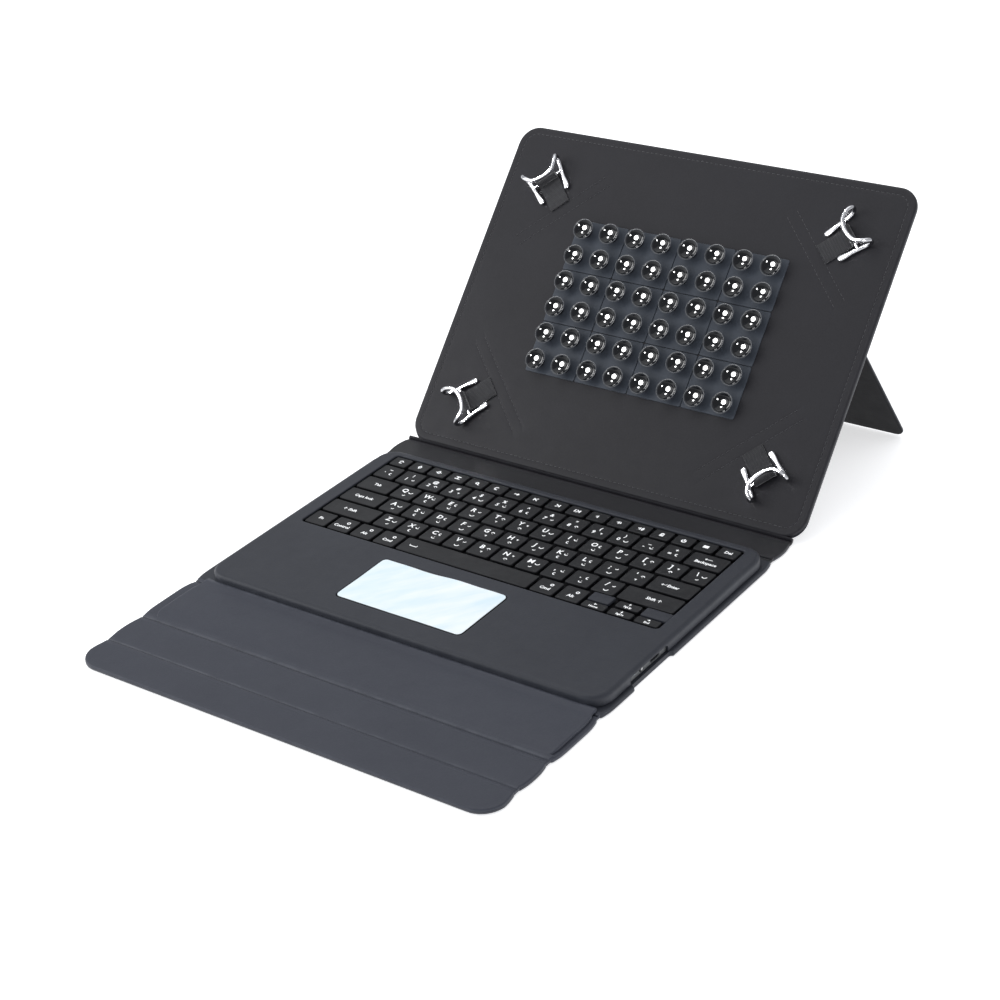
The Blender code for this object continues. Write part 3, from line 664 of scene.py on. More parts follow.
def circuit(name):
    """Green solder mask over fine tracks, with plated pads."""
    made, tree, shader, place = start_material(name)
    tracks = add_node(tree, "TexBrick", Vector=place, Scale=0.35, Mortar_Size=0.03, Brick_Width=0.7)
    pads = spread(tree, cells(tree, place, 0.22), 0.12, 0.1)
    mask = blend_colours(tree, tracks.outputs["Fac"], (0.01, 0.09, 0.04), (0.03, 0.19, 0.09))
    base = blend_colours(tree, pads, mask, (0.72, 0.55, 0.25))
    feed(tree, shader, Base_Color=base, Roughness=0.35, Metallic=pads)
    bump(tree, shader, tracks.outputs["Fac"], 0.04, 0.6)
    return made


def foil(name):
    """Crinkled silver foil of the battery cell."""
    made, tree, shader, place = start_material(name)
    crinkle = cells(tree, place, 0.15)
    base = blend_colours(tree, crinkle, (0.45, 0.45, 0.47), (0.7, 0.7, 0.72))
    feed(tree, shader, Base_Color=base, Metallic=0.8, Roughness=0.32)
    bump(tree, shader, crinkle, 0.5, 0.4)
    return made


def light_pipe(name):
    """Milky clear plastic of the status light."""
    made, tree, shader, place = start_material(name)
    cloud = noise(tree, place, 1.5, 2.0)
    base = blend_colours(tree, cloud, (0.55, 0.65, 0.72), (0.85, 0.92, 0.95))
    feed(tree, shader, Base_Color=base, Roughness=0.25, Transmission_Weight=0.4)
    bump(tree, shader, cloud, 0.02, 0.3)
    return made


def make_looks():
    # Flap, deck and panel are one leather in lit and shaded copies: lighter on the flap lying flat under the
    # top light, darker on the tilted panel, the deck between them. The spine leather is darker still, as
    # painted shade in the gutter between deck and panel. The third colour of each is the pale edge colour:
    # partly rub wear, partly a painted edge highlight.
    leathers = {
        "flap": ("flap_leather", (0.026, 0.029, 0.042), (0.036, 0.040, 0.055), (0.060, 0.065, 0.082)),
        "deck": ("deck_leather", (0.016, 0.018, 0.026), (0.025, 0.028, 0.037), (0.050, 0.054, 0.066)),
        "panel": ("panel_leather", (0.0085, 0.008, 0.011), (0.0135, 0.013, 0.017), (0.042, 0.042, 0.050)),
        "gutter": ("spine_leather", (0.006, 0.006, 0.008), (0.011, 0.011, 0.014), (0.03, 0.03, 0.036)),
        "outer": ("outer_leather", (0.022, 0.0245, 0.034), (0.032, 0.0355, 0.047), (0.055, 0.058, 0.070)),
    }
    # The leg lining is a darker copy of the leather, as painted shade on the kickstand.
    lining = ((0.0035, 0.0035, 0.005), (0.006, 0.006, 0.008), (0.02, 0.02, 0.024))
    magnet = ((0.45, 0.45, 0.46), (0.58, 0.58, 0.60))
    membrane = ((0.002, 0.002, 0.003), (0.004, 0.004, 0.005))
    return {
        **{key: leather(*settings) for key, settings in leathers.items()},
        "under": leather("leg_lining_leather", *lining, shine=0.08),
        "key": key_plastic("key_plastic"),
        "ink": ink("legend_ink"),
        "shell": moulded_plastic("tray_plastic", (0.085, 0.09, 0.095), (0.13, 0.135, 0.14), 0.45),
        "black": moulded_plastic("black_plastic", (0.010, 0.010, 0.011), (0.018, 0.018, 0.019), 0.38),
        "membrane": moulded_plastic("membrane_film", *membrane, 0.7, shine=0.12),
        "board": fibreboard("fibreboard"),
        "circuit": circuit("circuit"),
        "foil": foil("battery_foil"),
        "film": protective_film("protective_film"),
        "steel": brushed_metal("steel", (0.52, 0.52, 0.54), (0.68, 0.68, 0.70), 0.25),
        "port": brushed_metal("port_steel", (0.10, 0.10, 0.11), (0.16, 0.16, 0.17), 0.35),
        "magnet": brushed_metal("nickel_magnet", *magnet, 0.3, (2.0, 2.0, 2.0)),
        "chrome": brushed_metal("chrome", (0.42, 0.42, 0.44), (0.52, 0.52, 0.54), 0.08, (0.5, 0.5, 0.5)),
        # The second colour of each clear rubber is its lip, a painted rim highlight.
        "cup": clear_rubber("cup_rubber", (0.004, 0.0045, 0.006), (0.060, 0.064, 0.072), 0.05),
        "pad": clear_rubber("tile_rubber", (0.046, 0.053, 0.066), (0.060, 0.068, 0.080), 0.30),
        "elastic": woven("dark_elastic", (0.006, 0.006, 0.008), (0.022, 0.022, 0.026), 0.6),
        "thread": thread("sewing_thread", (0.012, 0.012, 0.015), (0.045, 0.045, 0.053)),
        "light": light_pipe("light_pipe"),
    }


LOOKS = make_looks()


# Outer cover, boards and fold strips


FOLDS = [joint_place("flap_%d_fold" % n).y for n in (1, 2, 3)]
FOLDS += [joint_place("back_spine_fold").y, joint_place("back_panel_fold").y]


def notched(points):
    """Draws the long sides in a little beside each fold line, as the leather does."""
    made = points.copy()
    draw = np.zeros(len(points))
    for fold in FOLDS:
        draw += np.exp(-(((points[:, 1] - fold) / NOTCH_WIDTH) ** 2))
    made[:, 0] *= 1 - draw * NOTCH_DEPTH / HALF_WIDTH
    return made


def layer(name, node, limits, radii, z0, z1, low_round, high_round, look, body, place=None, soft=0.08,
          warp=notched, phase=0.0, slope=None):
    """A flat leather layer with its own rounded edges, in place of a CAD node."""
    outline = Outline(*limits, radii)
    front, run, drop = slope or (0.0, 1.0, 0.0)

    def top(x, y, edge, gap):
        share = np.clip(1 - (y - front) / run, 0, 1)
        height = z1 - rounding(edge, high_round) - drop * share**2 * (3 - 2 * share)
        return height + undulation(x, y, 26, soft, phase) * np.clip(edge / 6, 0, 1)

    made = sheet(
        name,
        outline,
        top,
        lambda x, y, edge, gap: z0 + rounding(edge, low_round),
        LOOKS[look],
        "leather",
        place,
        warp=warp,
    )
    attach(made, body, node)
    return made


def make_base():
    cover = limits_of("base_cover")
    lined = (cover[0] + 0.1, cover[1] - 0.1, *cover[2:4])
    pieces = [
        layer(name, node, limits, LAYER_CORNER, *heights, look, "deck", soft=0)
        for name, node, limits, heights, look in (
            ("base_outer_leather", "base_cover", cover[:4], (0.0, SEAM, 0.7, 0.15), "outer"),
            ("base_lining_leather", "base_board", lined, (SEAM, 2.8, 0.1, 1.0), "deck"),
        )
    ]
    rear = limits_of("usb_shell")[3] + 8
    front = limits_of("status_led")[2] - 6
    side = limits_of("deck_skin")[1] + 0.4
    for piece in pieces:
        carve(piece, Outline(side, side + 30, front, rear, 2.0), -2, 6)


def carve(target, outline, z0, z1):
    """Cuts a through hole of this outline out of a finished piece."""
    flat, faces = triangulated(outline, (0.0,), (), (0.0,), 50, ())
    cut_away(target, *slab_from(flat, faces, np.full(len(flat), z1), np.full(len(flat), z0)))


def cut_away(target, points, faces):
    """Takes a closed body, with its points in mm, out of a finished piece."""
    cutter = bpy.data.objects.new("cutter", bpy.data.meshes.new("cutter"))
    cutter.data.from_pydata((np.array(points) * MM).tolist(), [], faces)
    bpy.context.scene.collection.objects.link(cutter)
    step = target.modifiers.new("cut", "BOOLEAN")
    step.object = cutter
    step.solver = "EXACT"
    graph = bpy.context.evaluated_depsgraph_get()
    mesh = bpy.data.meshes.new_from_object(target.evaluated_get(graph))
    target.modifiers.clear()
    target.data = mesh
    mesh.set_sharp_from_angle(angle=math.radians(50))
    bpy.data.objects.remove(cutter)


def make_flaps():
    cover, raised = limits_of("flap_1_cover"), limits_of("flap_1_board")
    layer(
        "flap_1_outer_leather", "flap_1_cover", cover[:4], LAYER_CORNER, 0.0, 2.6, 0.7, 0.9,
        "flap", "flap_1", phase=1,
    )
    layer(
        "flap_1_raised_board", "flap_1_board", raised[:4], (3.0, 3.0, 0.8, 0.8), 2.5, raised[5], 0.1, 0.8,
        "flap", "flap_1", phase=2, slope=(raised[2], 7.0, 1.45),
    )
    for number, corner in ((2, LAYER_CORNER), (3, FLAP_CORNER)):
        body = "flap_%d" % number
        edges = limits_of(body + "_cover")[:4]
        radii = (corner, corner, LAYER_CORNER, LAYER_CORNER)
        for part, node, look, heights in (
            ("_outer_leather", "_cover", "outer", (0.0, SEAM, 0.7, 0.1)),
            ("_lining_leather", "_board", "flap", (SEAM, 3.0, 0.1, 1.0)),
        ):
            layer(body + part, body + node, edges, radii, *heights, look, body, phase=number)


def make_spine():
    cover = limits_of("spine_cover")
    # The spine lining takes the darker leather, as painted shade in the gutter.
    for name, node, heights, look, soft in (
        ("spine_outer_leather", "spine_cover", (0.0, SEAM, 0.7, 0.1), "outer", 0),
        ("spine_lining_leather", "spine_lining", (SEAM, 2.9, 0.1, 0.8), "gutter", 0.12),
    ):
        layer(name, node, cover[:4], 1.0, *heights, look, "spine", soft=soft)


def fold_strip(name, section, reach, look, highlight_ridge=None):
    """A leather strip across a fold between two bodies, made in its rest shape. Section is a loop of (y, z)
    points.
    """
    points, faces = prism(section, *reach)
    # A little paler all over, with a painted highlight line along the ridge.
    wear = np.full(len(points), 0.25)
    if highlight_ridge is not None:
        wear[(abs(points[:, 1] - highlight_ridge) < 0.05) & (points[:, 2] > 1.5)] = 2.2
    made = add_piece(name, notched(points), faces, LOOKS[look], "leather", wear=wear)
    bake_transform(made)
    return made


def flat_fold(name, a, b, axis, front, rear, front_top, rear_top, reach, look):
    """A strip across a fold that lies flat at rest, with one fine crease over the axis."""
    y = axis.y
    crease = min(front_top, rear_top) - 0.7
    low_front, low_rear = front_top - 0.02, rear_top - 0.02
    top = [
        (front - 1.8, front_top - 0.4), (front - 1.6, front_top + 0.03), (front, low_front),
        (y - 0.8, low_front - 0.05), (y - 0.3, crease), (y + 0.3, crease), (y + 0.8, low_rear - 0.05),
        (rear, low_rear), (rear + 1.6, rear_top + 0.03), (rear + 1.8, rear_top - 0.4),
    ]
    bottom = [
        (rear + 0.4, 0.5), (rear, 0.1), (y + 0.7, 0.12), (y, 0.2), (y - 0.7, 0.12),
        (front, 0.1), (front - 0.4, 0.5),
    ]
    start = Vector((0, rear - 0.1, axis.z))
    end = Vector((0, front + 0.1, axis.z))
    if a == "deck" and b == "spine":
        start, end = end, start
    # The crease ridge beside the axis carries a painted highlight line.
    fold_strip(name, top + bottom, reach, look, highlight_ridge=y + 0.8)


def make_folds():
    flap_1, flap_2, flap_3 = (limits_of("flap_%d_cover" % n) for n in (1, 2, 3))
    base, spine = limits_of("base_cover"), limits_of("spine_cover")
    raised, reach = limits_of("flap_1_board"), flap_2[:2]
    make_front_bridge(raised)
    for joint, bodies, edges, tops, look in (
        ("flap_1_fold", ("deck", "flap_1"), (flap_1[3], base[2]), (2.6, 2.8), "flap"),
        ("flap_2_fold", ("flap_1", "flap_2"), (flap_2[3], raised[2] - 0.2), (3.0, 3.05), "flap"),
        ("flap_3_fold", ("flap_2", "flap_3"), (flap_3[3], flap_2[2]), (3.0, 3.0), "flap"),
        # The spine fold takes the darker gutter leather, as painted shade.
        ("back_spine_fold", ("deck", "spine"), (base[3], spine[2]), (2.8, 2.9), "gutter"),
    ):
        name = joint.removeprefix("back_") + "_leather"
        flat_fold(name, *bodies, joint_place(joint), *edges, *tops, reach, look)
    make_panel_fold(spine[3], reach)
    make_leg_fold()


def make_front_bridge(raised):
    """Soft lining that carries on from the front of the deck to the raised strip of the flap."""
    rear, front = limits_of("deck_skin")[2], raised[3]
    top = raised[5]
    section = [
        (front - 1.4, top - 0.5), (front - 1.2, top + 0.02), (front + 0.6, top + 0.1),
        (front + 2.4, top + 0.45), (rear - 1.3, top + 0.75), (rear - 0.6, top + 0.7),
        (rear + 0.1, top + 0.45), (rear + 0.5, top + 0.4),
        (rear + 0.5, 3.1), (front + 2.0, 3.0), (front, 3.0), (front - 0.6, 3.2),
    ]
    reach = (raised[0] + 0.3, raised[1] - 0.3)
    # The ridge at the deck's front edge carries a painted highlight line.
    fold_strip("front_bridge_leather", section, reach, "flap", highlight_ridge=rear - 1.3)


def in_place(place, y, z):
    p = place @ Vector((0, y, z))
    return p.y, p.z


def make_panel_fold(spine_end, reach):
    """The strip between the spine and the panel, which stands up at rest."""
    axis = joint_place("back_panel_fold")
    under = [
        in_place(PANEL, -1.46 * math.sin(a), -1.46 * math.cos(a))
        for a in (math.radians(v) for v in (0, 12, 24, 36, 47))
    ]
    top = [(spine_end - 0.4, 2.2), (spine_end, 2.45), (axis.y - 1.2, 2.3), (axis.y - 0.25, 2.1)]
    top += [in_place(PANEL, 0.9, 1.5), in_place(PANEL, 1.8, 1.9), in_place(PANEL, 2.4, 1.6)]
    back = [in_place(PANEL, 2.4, -1.1), in_place(PANEL, 1.0, -1.4)]
    bottom = [(axis.y - 1.2, 0.04), (spine_end, 0.08), (spine_end - 0.4, 0.5)]
    section = top + back + under + bottom
    fold_strip("panel_fold_leather", section, reach, "panel")


def make_leg_fold():
    """Leather hinge of the kickstand, glued to the back of the panel above the leg."""
    cover = limits_of("kickstand_cover", LEG)
    axis = PANEL.inverted() @ joint_place("kickstand_swing")
    y = axis.y
    section = [
        in_place(place, shift + out, height)
        for place, shift, out, height in (
            (PANEL, y, 9, -1.5), (PANEL, y, 8.6, -1.75), (PANEL, y, 6, -2.25), (PANEL, y, 3.9, -2.45),
            (LEG, 0, 1.2, 2.95), (LEG, 0, 2.0, 2.9), (LEG, 0, 2.0, 1.5), (LEG, 0, 1.0, 1.4),
            (PANEL, y, 1.4, -1.6), (PANEL, y, 3, -1.48),
        )
    ]
    reach = (cover[0] + 0.3, cover[1] - 0.3)
    fold_strip("kickstand_fold_leather", section[::-1], reach, "outer")


# Deck


def key_nodes():
    return sorted(n for n in frame["nodes"] if n.startswith(("key_", "keys_")) and n != "key_membrane")


def make_skin():
    """The leather skin of the deck, with its soft rim and its two openings."""
    x0, x1, y0, y1, z0, z1 = limits_of("deck_skin")
    keys = np.array([limits_of(node) for node in key_nodes()])
    well = Outline(
        keys[:, 0].min() - WELL_EDGE, keys[:, 1].max() + WELL_EDGE,
        keys[:, 2].min() - WELL_EDGE, keys[:, 3].max() + WELL_EDGE, 2.5,
    )
    px0, px1, py0, py1 = limits_of("touchpad_plate")[:4]
    pad = Outline(px0 - 0.4, px1 + 0.4, py0 - 0.4, py1 + 0.4, 3.4)
    wall = 1.2

    def top(x, y, edge, gap):
        height = z1 - rounding(edge, 2.6) - rounding(gap, 0.7) - 0.85 * np.clip((y - y1) / 6 + 1, 0, 1) ** 2
        return height + undulation(x, y, 30, 0.05) * np.clip(np.minimum(edge, gap) / 6, 0, 1)

    made = sheet(
        "deck_leather_skin",
        Outline(x0, x1, y0, y1, CORNER),
        top,
        lambda x, y, edge, gap: np.where(edge < wall, z0, z1 - wall),
        LOOKS["deck"],
        "leather",
        holes=(well, pad),
        insets=(0.0, 0.08, 0.25, 0.5, 0.85, wall - 0.02, wall + 0.02, 1.7, 2.2, 2.7, 3.1),
        lips=(0.0, 0.1, 0.25, 0.45, 0.75, 1.3, 1.9),
        step=5.0,
    )
    attach(made, "deck", "deck_skin")
    rear = limits_of("usb_shell")[3] + 6.5
    front = limits_of("status_led")[2] - 5.5
    cut_side_window(made, x1, front, rear, z0, z1)


def make_key_infill():
    """Leather islands of the deck in the two empty places beside the up arrow key."""
    top = limits_of("deck_skin")[5]
    rear = limits_of("key_shift_right")[2] - KEY_GAP / 2
    slabs = []
    for node, right in (("key_arrow_left", -KEY_GAP / 2), ("key_arrow_right", WELL_EDGE + 0.3)):
        x0, x1, _, y1 = limits_of(node)[:4]
        outline = Outline(x0, x1 + right, y1 + KEY_GAP / 2, rear, 0.8)
        flat, faces = triangulated(outline, (0.0, 0.1, 0.3, 0.7), (), (0.0,), 3.0, ())
        edge = np.clip(outline.inside(*flat.T), 0, None)
        slabs.append(slab_from(flat, faces, top - 0.05 - rounding(edge, 0.6), np.full(len(flat), top - 1.6)))
    made = add_piece("deck_key_infill", *joined(slabs), LOOKS["deck"], "leather")
    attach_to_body(made, "deck")


def cut_side_window(skin, side, front, rear, z0, z1):
    """Opens the skin beside the charging port, the power button and the light."""
    outline = Outline(front, rear, z0 - 6, z1 - 2.2, 2.0)
    loop = outline.ring(0, 1.0)
    points = [(x, y, z) for x in (side - 1.35, side + 4) for y, z in loop]
    cut_away(skin, points, closed(numbered(2, len(loop))))


def make_touchpad():
    """The touch plate and the pale protective film on it, whose rear edge runs a little wavy."""
    x0, x1, y0, y1, z0, z1 = limits_of("touchpad_plate")
    plate = sheet(
        "touchpad_surface",
        Outline(x0, x1, y0, y1, 3.0),
        lambda x, y, edge, gap: z1 - 0.1 - rounding(edge, 0.3),
        lambda x, y, edge, gap: z0 + 0 * x,
        LOOKS["black"],
        "touch_film",
        insets=(0.0, 0.1, 0.3, 1.0),
    )
    attach(plate, "touchpad", "touchpad_plate")

    def wavy(points):
        made = points.copy()
        share = np.clip((points[:, 1] - (y0 + y1) / 2) / (y1 - y0) * 2, 0, 1) ** 2
        x = points[:, 0]
        made[:, 1] += share * (0.6 * np.sin(x / 13 + 0.6) + 0.25 * np.sin(x / 5 + 2.0))
        return made

    film = sheet(
        "touchpad_film",
        Outline(x0 + 0.2, x1 - 0.2, y0 + 0.2, y1 - 0.4, 3.0),
        lambda x, y, edge, gap: z1 + 0.12 + undulation(x, y, 16, 0.1, 0.7),
        lambda x, y, edge, gap: z1 - 0.02 + undulation(x, y, 16, 0.1, 0.7),
        LOOKS["film"],
        "touch_film",
        insets=(0.0, 0.3, 1.0),
        step=4.0,
        warp=wavy,
    )
    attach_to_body(film, "touchpad")


# Keys


def keycap(x0, x1, y0, y1, z0, z1):
    """A keycap with rounded corners, a soft shoulder and a slightly dished top."""
    levels = (
        (0.0, z0), (0.0, z0 + 0.7), (0.03, z1 - 0.32), (0.12, z1 - 0.14), (0.28, z1 - 0.03),
        (0.5, z1), (0.9, z1 - 0.01), (2.0, z1 - 0.06), (3.2, z1 - 0.10),
    )
    shallow = min(x1 - x0, y1 - y0) / 2 - 0.4
    points, rings = [], []
    for inset, z in levels:
        if inset > shallow:
            continue
        radius = max(1.15 - inset, 0.35)
        corners = ((x0, y0, 1, 1), (x1, y0, -1, 1), (x1, y1, -1, -1), (x0, y1, 1, -1))
        ring = []
        for number, (x, y, sx, sy) in enumerate(corners):
            cx, cy = x + sx * (inset + radius), y + sy * (inset + radius)
            for i in range(5):
                angle = math.radians(180 + 90 * number + 22.5 * i)
                ring.append(len(points))
                points.append((cx + radius * math.cos(angle), cy + radius * math.sin(angle), z))
        rings.append(ring)
    return points, closed(rings)


def text_shape(word, size, x, y, z):
    """Flat solid letters centred on a point."""
    curve = bpy.data.curves.new("word", "FONT")
    curve.body = word
    curve.size = size * 1.35 * MM
    curve.align_x = "CENTER"
    curve.align_y = "CENTER"
    curve.extrude = INK * MM
    curve.resolution_u = 2
    curve.offset = 0.05 * size * MM / 2
    holder = bpy.data.objects.new("word", curve)
    bpy.context.scene.collection.objects.link(holder)
    mesh = bpy.data.meshes.new_from_object(holder.evaluated_get(bpy.context.evaluated_depsgraph_get()))
    points = np.array([v.co for v in mesh.vertices]) / MM + (x, y, z)
    faces = [list(p.vertices) for p in mesh.polygons]
    bpy.data.objects.remove(holder)
    bpy.data.meshes.remove(mesh)
    return points, faces


def stroke(points, width, z):
    """A flat solid line through 2D points."""
    p = np.array(points, float)
    run = np.gradient(p, axis=0)
    run /= np.linalg.norm(run, axis=1)[:, None]
    side = np.stack([-run[:, 1], run[:, 0]], 1) * width / 2
    loop = np.concatenate([p + side, (p - side)[::-1]])
    count = len(loop)
    made = [(x, y, z + INK) for x, y in loop] + [(x, y, z - INK) for x, y in loop]
    half = len(p)
    faces = []
    for i in range(half - 1):
        a, b, c, d = i, i + 1, count - 2 - i, count - 1 - i
        faces += [[d, c, b, a], [a + count, b + count, c + count, d + count]]
    faces += [[i, (i + 1) % count, count + (i + 1) % count, count + i] for i in range(count)]
    return made, faces


def arc(x, y, radius, start, end, steps=8):
    angles = [math.radians(start + (end - start) * i / steps) for i in range(steps + 1)]
    return [(x + radius * math.cos(a), y + radius * math.sin(a)) for a in angles]


def drawn(parts, x, y, z, width, size=1.0):
    """Flat lines from parts given round the origin, moved to x, y and enlarged."""
    return [stroke([(x + u * size, y + v * size) for u, v in part], width, z) for part in parts]


def level(height, half):
    return [(-half, height), (half, height)]


def post(place, half):
    return [(place, -half), (place, half)]


# Small abstract second marks: hooks, bowls and dots. They are no real script.
SMALL_MARKS = (
    [arc(0, 0, 1.4, 200, 360)],
    [arc(0, 0.2, 1.12, 180, 330), [(0.2, 0.9), (0.5, 0.9)]],
    [arc(-0.3, 0, 0.98, 90, 300)],
    [[(-0.9, -0.4), (0.3, -0.4), (0.8, 0.4)]],
    [arc(0, -0.3, 0.98, 0, 180), [(-0.2, -1.0), (0.1, -1.0)]],
    [[(-0.6, 0.5), (0.6, 0.5), (0.1, -0.6)]],
)
RING = arc(0, 0, 0.6325, 0, 350, 12)
WEDGE = [(-0.5, 0.9), (0.8, 0), (-0.5, -0.9)]
SPEAKER = [(-1.1, 0), (-0.2, 0.8), (-0.2, -0.8)]

# Function key symbols from rings, bars and wedges: home, sun, lens, moon, arrow, sound and lock
ICONS = (
    [[(-1, 0.2), (0, 1.1), (1, 0.2)], level(-0.8, 0.7)],
    [RING, [(0, 1.0), (0, 1.3)], [(0, -1.0), (0, -1.3)]],
    [RING, [(1.0, 0), (1.4, 0)], [(-1.4, 0), (-1.0, 0)], [(0, 1.0), (0, 1.4)]],
    [level(-0.8, 1.2), level(0.8, 1.2), post(0, 0.5)],
    [RING, [(0.5, -0.5), (1.2, -1.2)]],
    [arc(0, 0, 0.92, 60, 300)],
    [level(0, 1.1), [(0.4, 0.7), (1.1, 0), (0.4, -0.7)]],
    [[(-u, v) for u, v in WEDGE], post(-1.2, 0.9)],
    [WEDGE, post(1.3, 0.9)],
    [WEDGE, post(1.2, 0.9), post(-1.2, 0.9)],
    [SPEAKER],
    [SPEAKER, arc(0, 0, 0.7, -50, 50)],
    [SPEAKER, arc(0, 0, 0.7, -50, 50), arc(0, 0, 1.3, -50, 50)],
    [arc(0, 0.3, 0.6, 0, 180), level(-0.2, 0.9), level(-0.9, 0.9)],
    [arc(0, -0.2, 0.9, -230, 50), [(0, 0), (0, 1.1)]],
    [level(-0.6, 1.2), level(0, 1.2), level(0.6, 1.2)],
)

ROW_LETTERS = {
    "keys_number_row": "`1234567890-=",
    "keys_upper_row": "QWERTYUIOP[]\\",
    "keys_home_row": "ASDFGHJKL;'",
    "keys_lower_row": "ZXCVBNM,./",
}
SHIFTED = "~!@#$%^&*()_+"
KEY_WORDS = {
    "key_backspace": "Backspace", "key_tab": "Tab", "key_caps_lock": "Caps lock", "key_enter": "Enter",
    "key_shift_left": "Shift", "key_shift_right": "Shift", "key_fn": "Fn", "key_control": "Control",
    "key_option_left": "Alt", "key_option_right": "Alt", "key_command_left": "Cmd",
    "key_command_right": "Cmd",
}
RINGED_WORDS = ("Alt", "Cmd", "Control")
ARROW_KEYS = {
    "key_arrow_left": (180, "Home"), "key_arrow_right": (0, "End"), "key_arrow_up": (90, "PgUp"),
    "key_arrow_down": (270, "PgDn"),
}
BACKSPACE_SIGN = ([(-2.4, 2.2), (2.4, 2.2)], [(-1.5, 3.0), (-2.4, 2.2), (-1.5, 1.4)])
SHIFT_SIGN = ([(-1.1, 0), (0, 1.3), (1.1, 0)], [(0, 1.0), (0, -1.2)])
ENTER_SIGN = ([(-7.4, 0), (-4.6, 0), (-4.6, 1.2)], [(-6.5, 0.8), (-7.4, 0), (-6.5, -0.8)])
SPACE_SIGN = [[(-2.4, 0.7), (-2.4, -0.5), (2.4, -0.5), (2.4, 0.7)]]


def row_limits(node):
    """Limits of each keycap in a row node."""
    x0, x1, y0, y1, z0, z1 = limits_of(node)
    count = FUNCTION_KEYS if node == "keys_function_row" else round((x1 - x0 + KEY_GAP) / KEY_PITCH)
    pitch = (x1 - x0 + KEY_GAP) / count
    return [(x0 + i * pitch, x0 + (i + 1) * pitch - KEY_GAP, y0, y1, z0, z1) for i in range(count)]


def top_of(limits):
    """The middle of a keycap's top."""
    x0, x1, y0, y1, _, z = limits
    return (x0 + x1) / 2, (y0 + y1) / 2, z


def letter_marks(letter, number, limits, digits):
    """The character of a key at its upper left, with two small marks beside and below it."""
    x, y, z = top_of(limits)

    def small(kind, across, up):
        return drawn(SMALL_MARKS[kind % len(SMALL_MARKS)], x + across, y + up, z, LINE)

    if digits:
        marks = [text_shape(letter, 3.1, x - 2.2, y - 1.9, z)]
        marks += [text_shape(SHIFTED[number], 2.9, x + 0.2, y + 2.6, z)]
        return marks + small(number + 2, 3.0, -1.9)
    marks = [text_shape(letter, LETTER, x - 1.8, y + 2.0, z)]
    return marks + small(number, 2.9, 1.5) + small(number * 5 + 3, 0.6, -3.0)


def arrow_marks(direction, word, limits):
    x, y, z = top_of(limits)
    angle = math.radians(direction)
    along, across = Vector((math.cos(angle), math.sin(angle))), Vector((-math.sin(angle), math.cos(angle)))
    tip = along * 0.8
    head = [tip - along * 0.7 + across * 0.6, tip, tip - along * 0.7 - across * 0.6]
    return drawn((head, [-tip, tip]), x, y + 1.3, z, 0.4) + [text_shape(word, 1.7, x, y - 1.3, z)]


def word_marks(node, limits):
    """The word of a key, lower where a ring or an arrow stands above it."""
    x, y, z = top_of(limits)
    word = KEY_WORDS[node]
    drop, signs = 0.0, []
    if word in RINGED_WORDS:
        drop, signs = 2.0, drawn([arc(2.0, 2.4, 0.9, 0, 350, 12)], x, y, z, LINE)
    elif word == "Backspace":
        drop, signs = 1.8, drawn(BACKSPACE_SIGN, x, y, z, FINE_LINE)
    elif word == "Shift":
        side = 5.5 if node.endswith("right") else -5.5
        signs = drawn(SHIFT_SIGN, x + side, y, z, FINE_LINE)
    elif word == "Enter":
        signs = drawn(ENTER_SIGN, x, y, z, FINE_LINE)
    return [text_shape(word, WORD, x, y - drop, z), *signs]


def row_marks(node, caps):
    """Legends of a row of equal keys."""
    marks = []
    for number, limits in enumerate(caps):
        if node != "keys_function_row":
            marks += letter_marks(ROW_LETTERS[node][number], number, limits, node == "keys_number_row")
        elif number == FUNCTION_KEYS - 1:
            marks.append(text_shape("Del", WORD, *top_of(limits)))
        else:
            marks += drawn(ICONS[number], *top_of(limits), ICON_LINE, ICON_SIZE)
    return marks


def single_marks(node, limits):
    """Legends of a key that has its own node."""
    if node in ARROW_KEYS:
        return arrow_marks(*ARROW_KEYS[node], limits)
    if node == "key_space":
        _, y, z = top_of(limits)
        return drawn(SPACE_SIGN, limits[0] + 8, y, z, LINE)
    return word_marks(node, limits)


def make_keys():
    for node in key_nodes():
        row = node.startswith("keys_")
        caps = row_limits(node) if row else [limits_of(node)]
        marks = row_marks(node, caps) if row else single_marks(node, caps[0])
        body = frame["nodes"][node]["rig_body"]
        shapes = joined([keycap(*limits) for limits in caps])
        cap = add_piece(node + "_cap", *shapes, LOOKS["key"], "key_plastic")
        attach(cap, body, node)
        legend = add_piece(node + "_legend", *joined(marks), LOOKS["ink"], "key_plastic", sharp=30)
        attach(legend, body)


# Port, button and light on the right side


def turned_to_x(points, x, y, z):
    """Turns a shape built along Z so that it runs along X, with its origin at this place."""
    p = np.asarray(points, float)
    return np.stack([p[:, 2] + x, p[:, 0] + y, p[:, 1] + z], 1)


def side_place(node):
    """The middle of a node's outer side."""
    _, x1, y0, y1, z0, z1 = limits_of(node)
    return x1, (y0 + y1) / 2, (z0 + z1) / 2


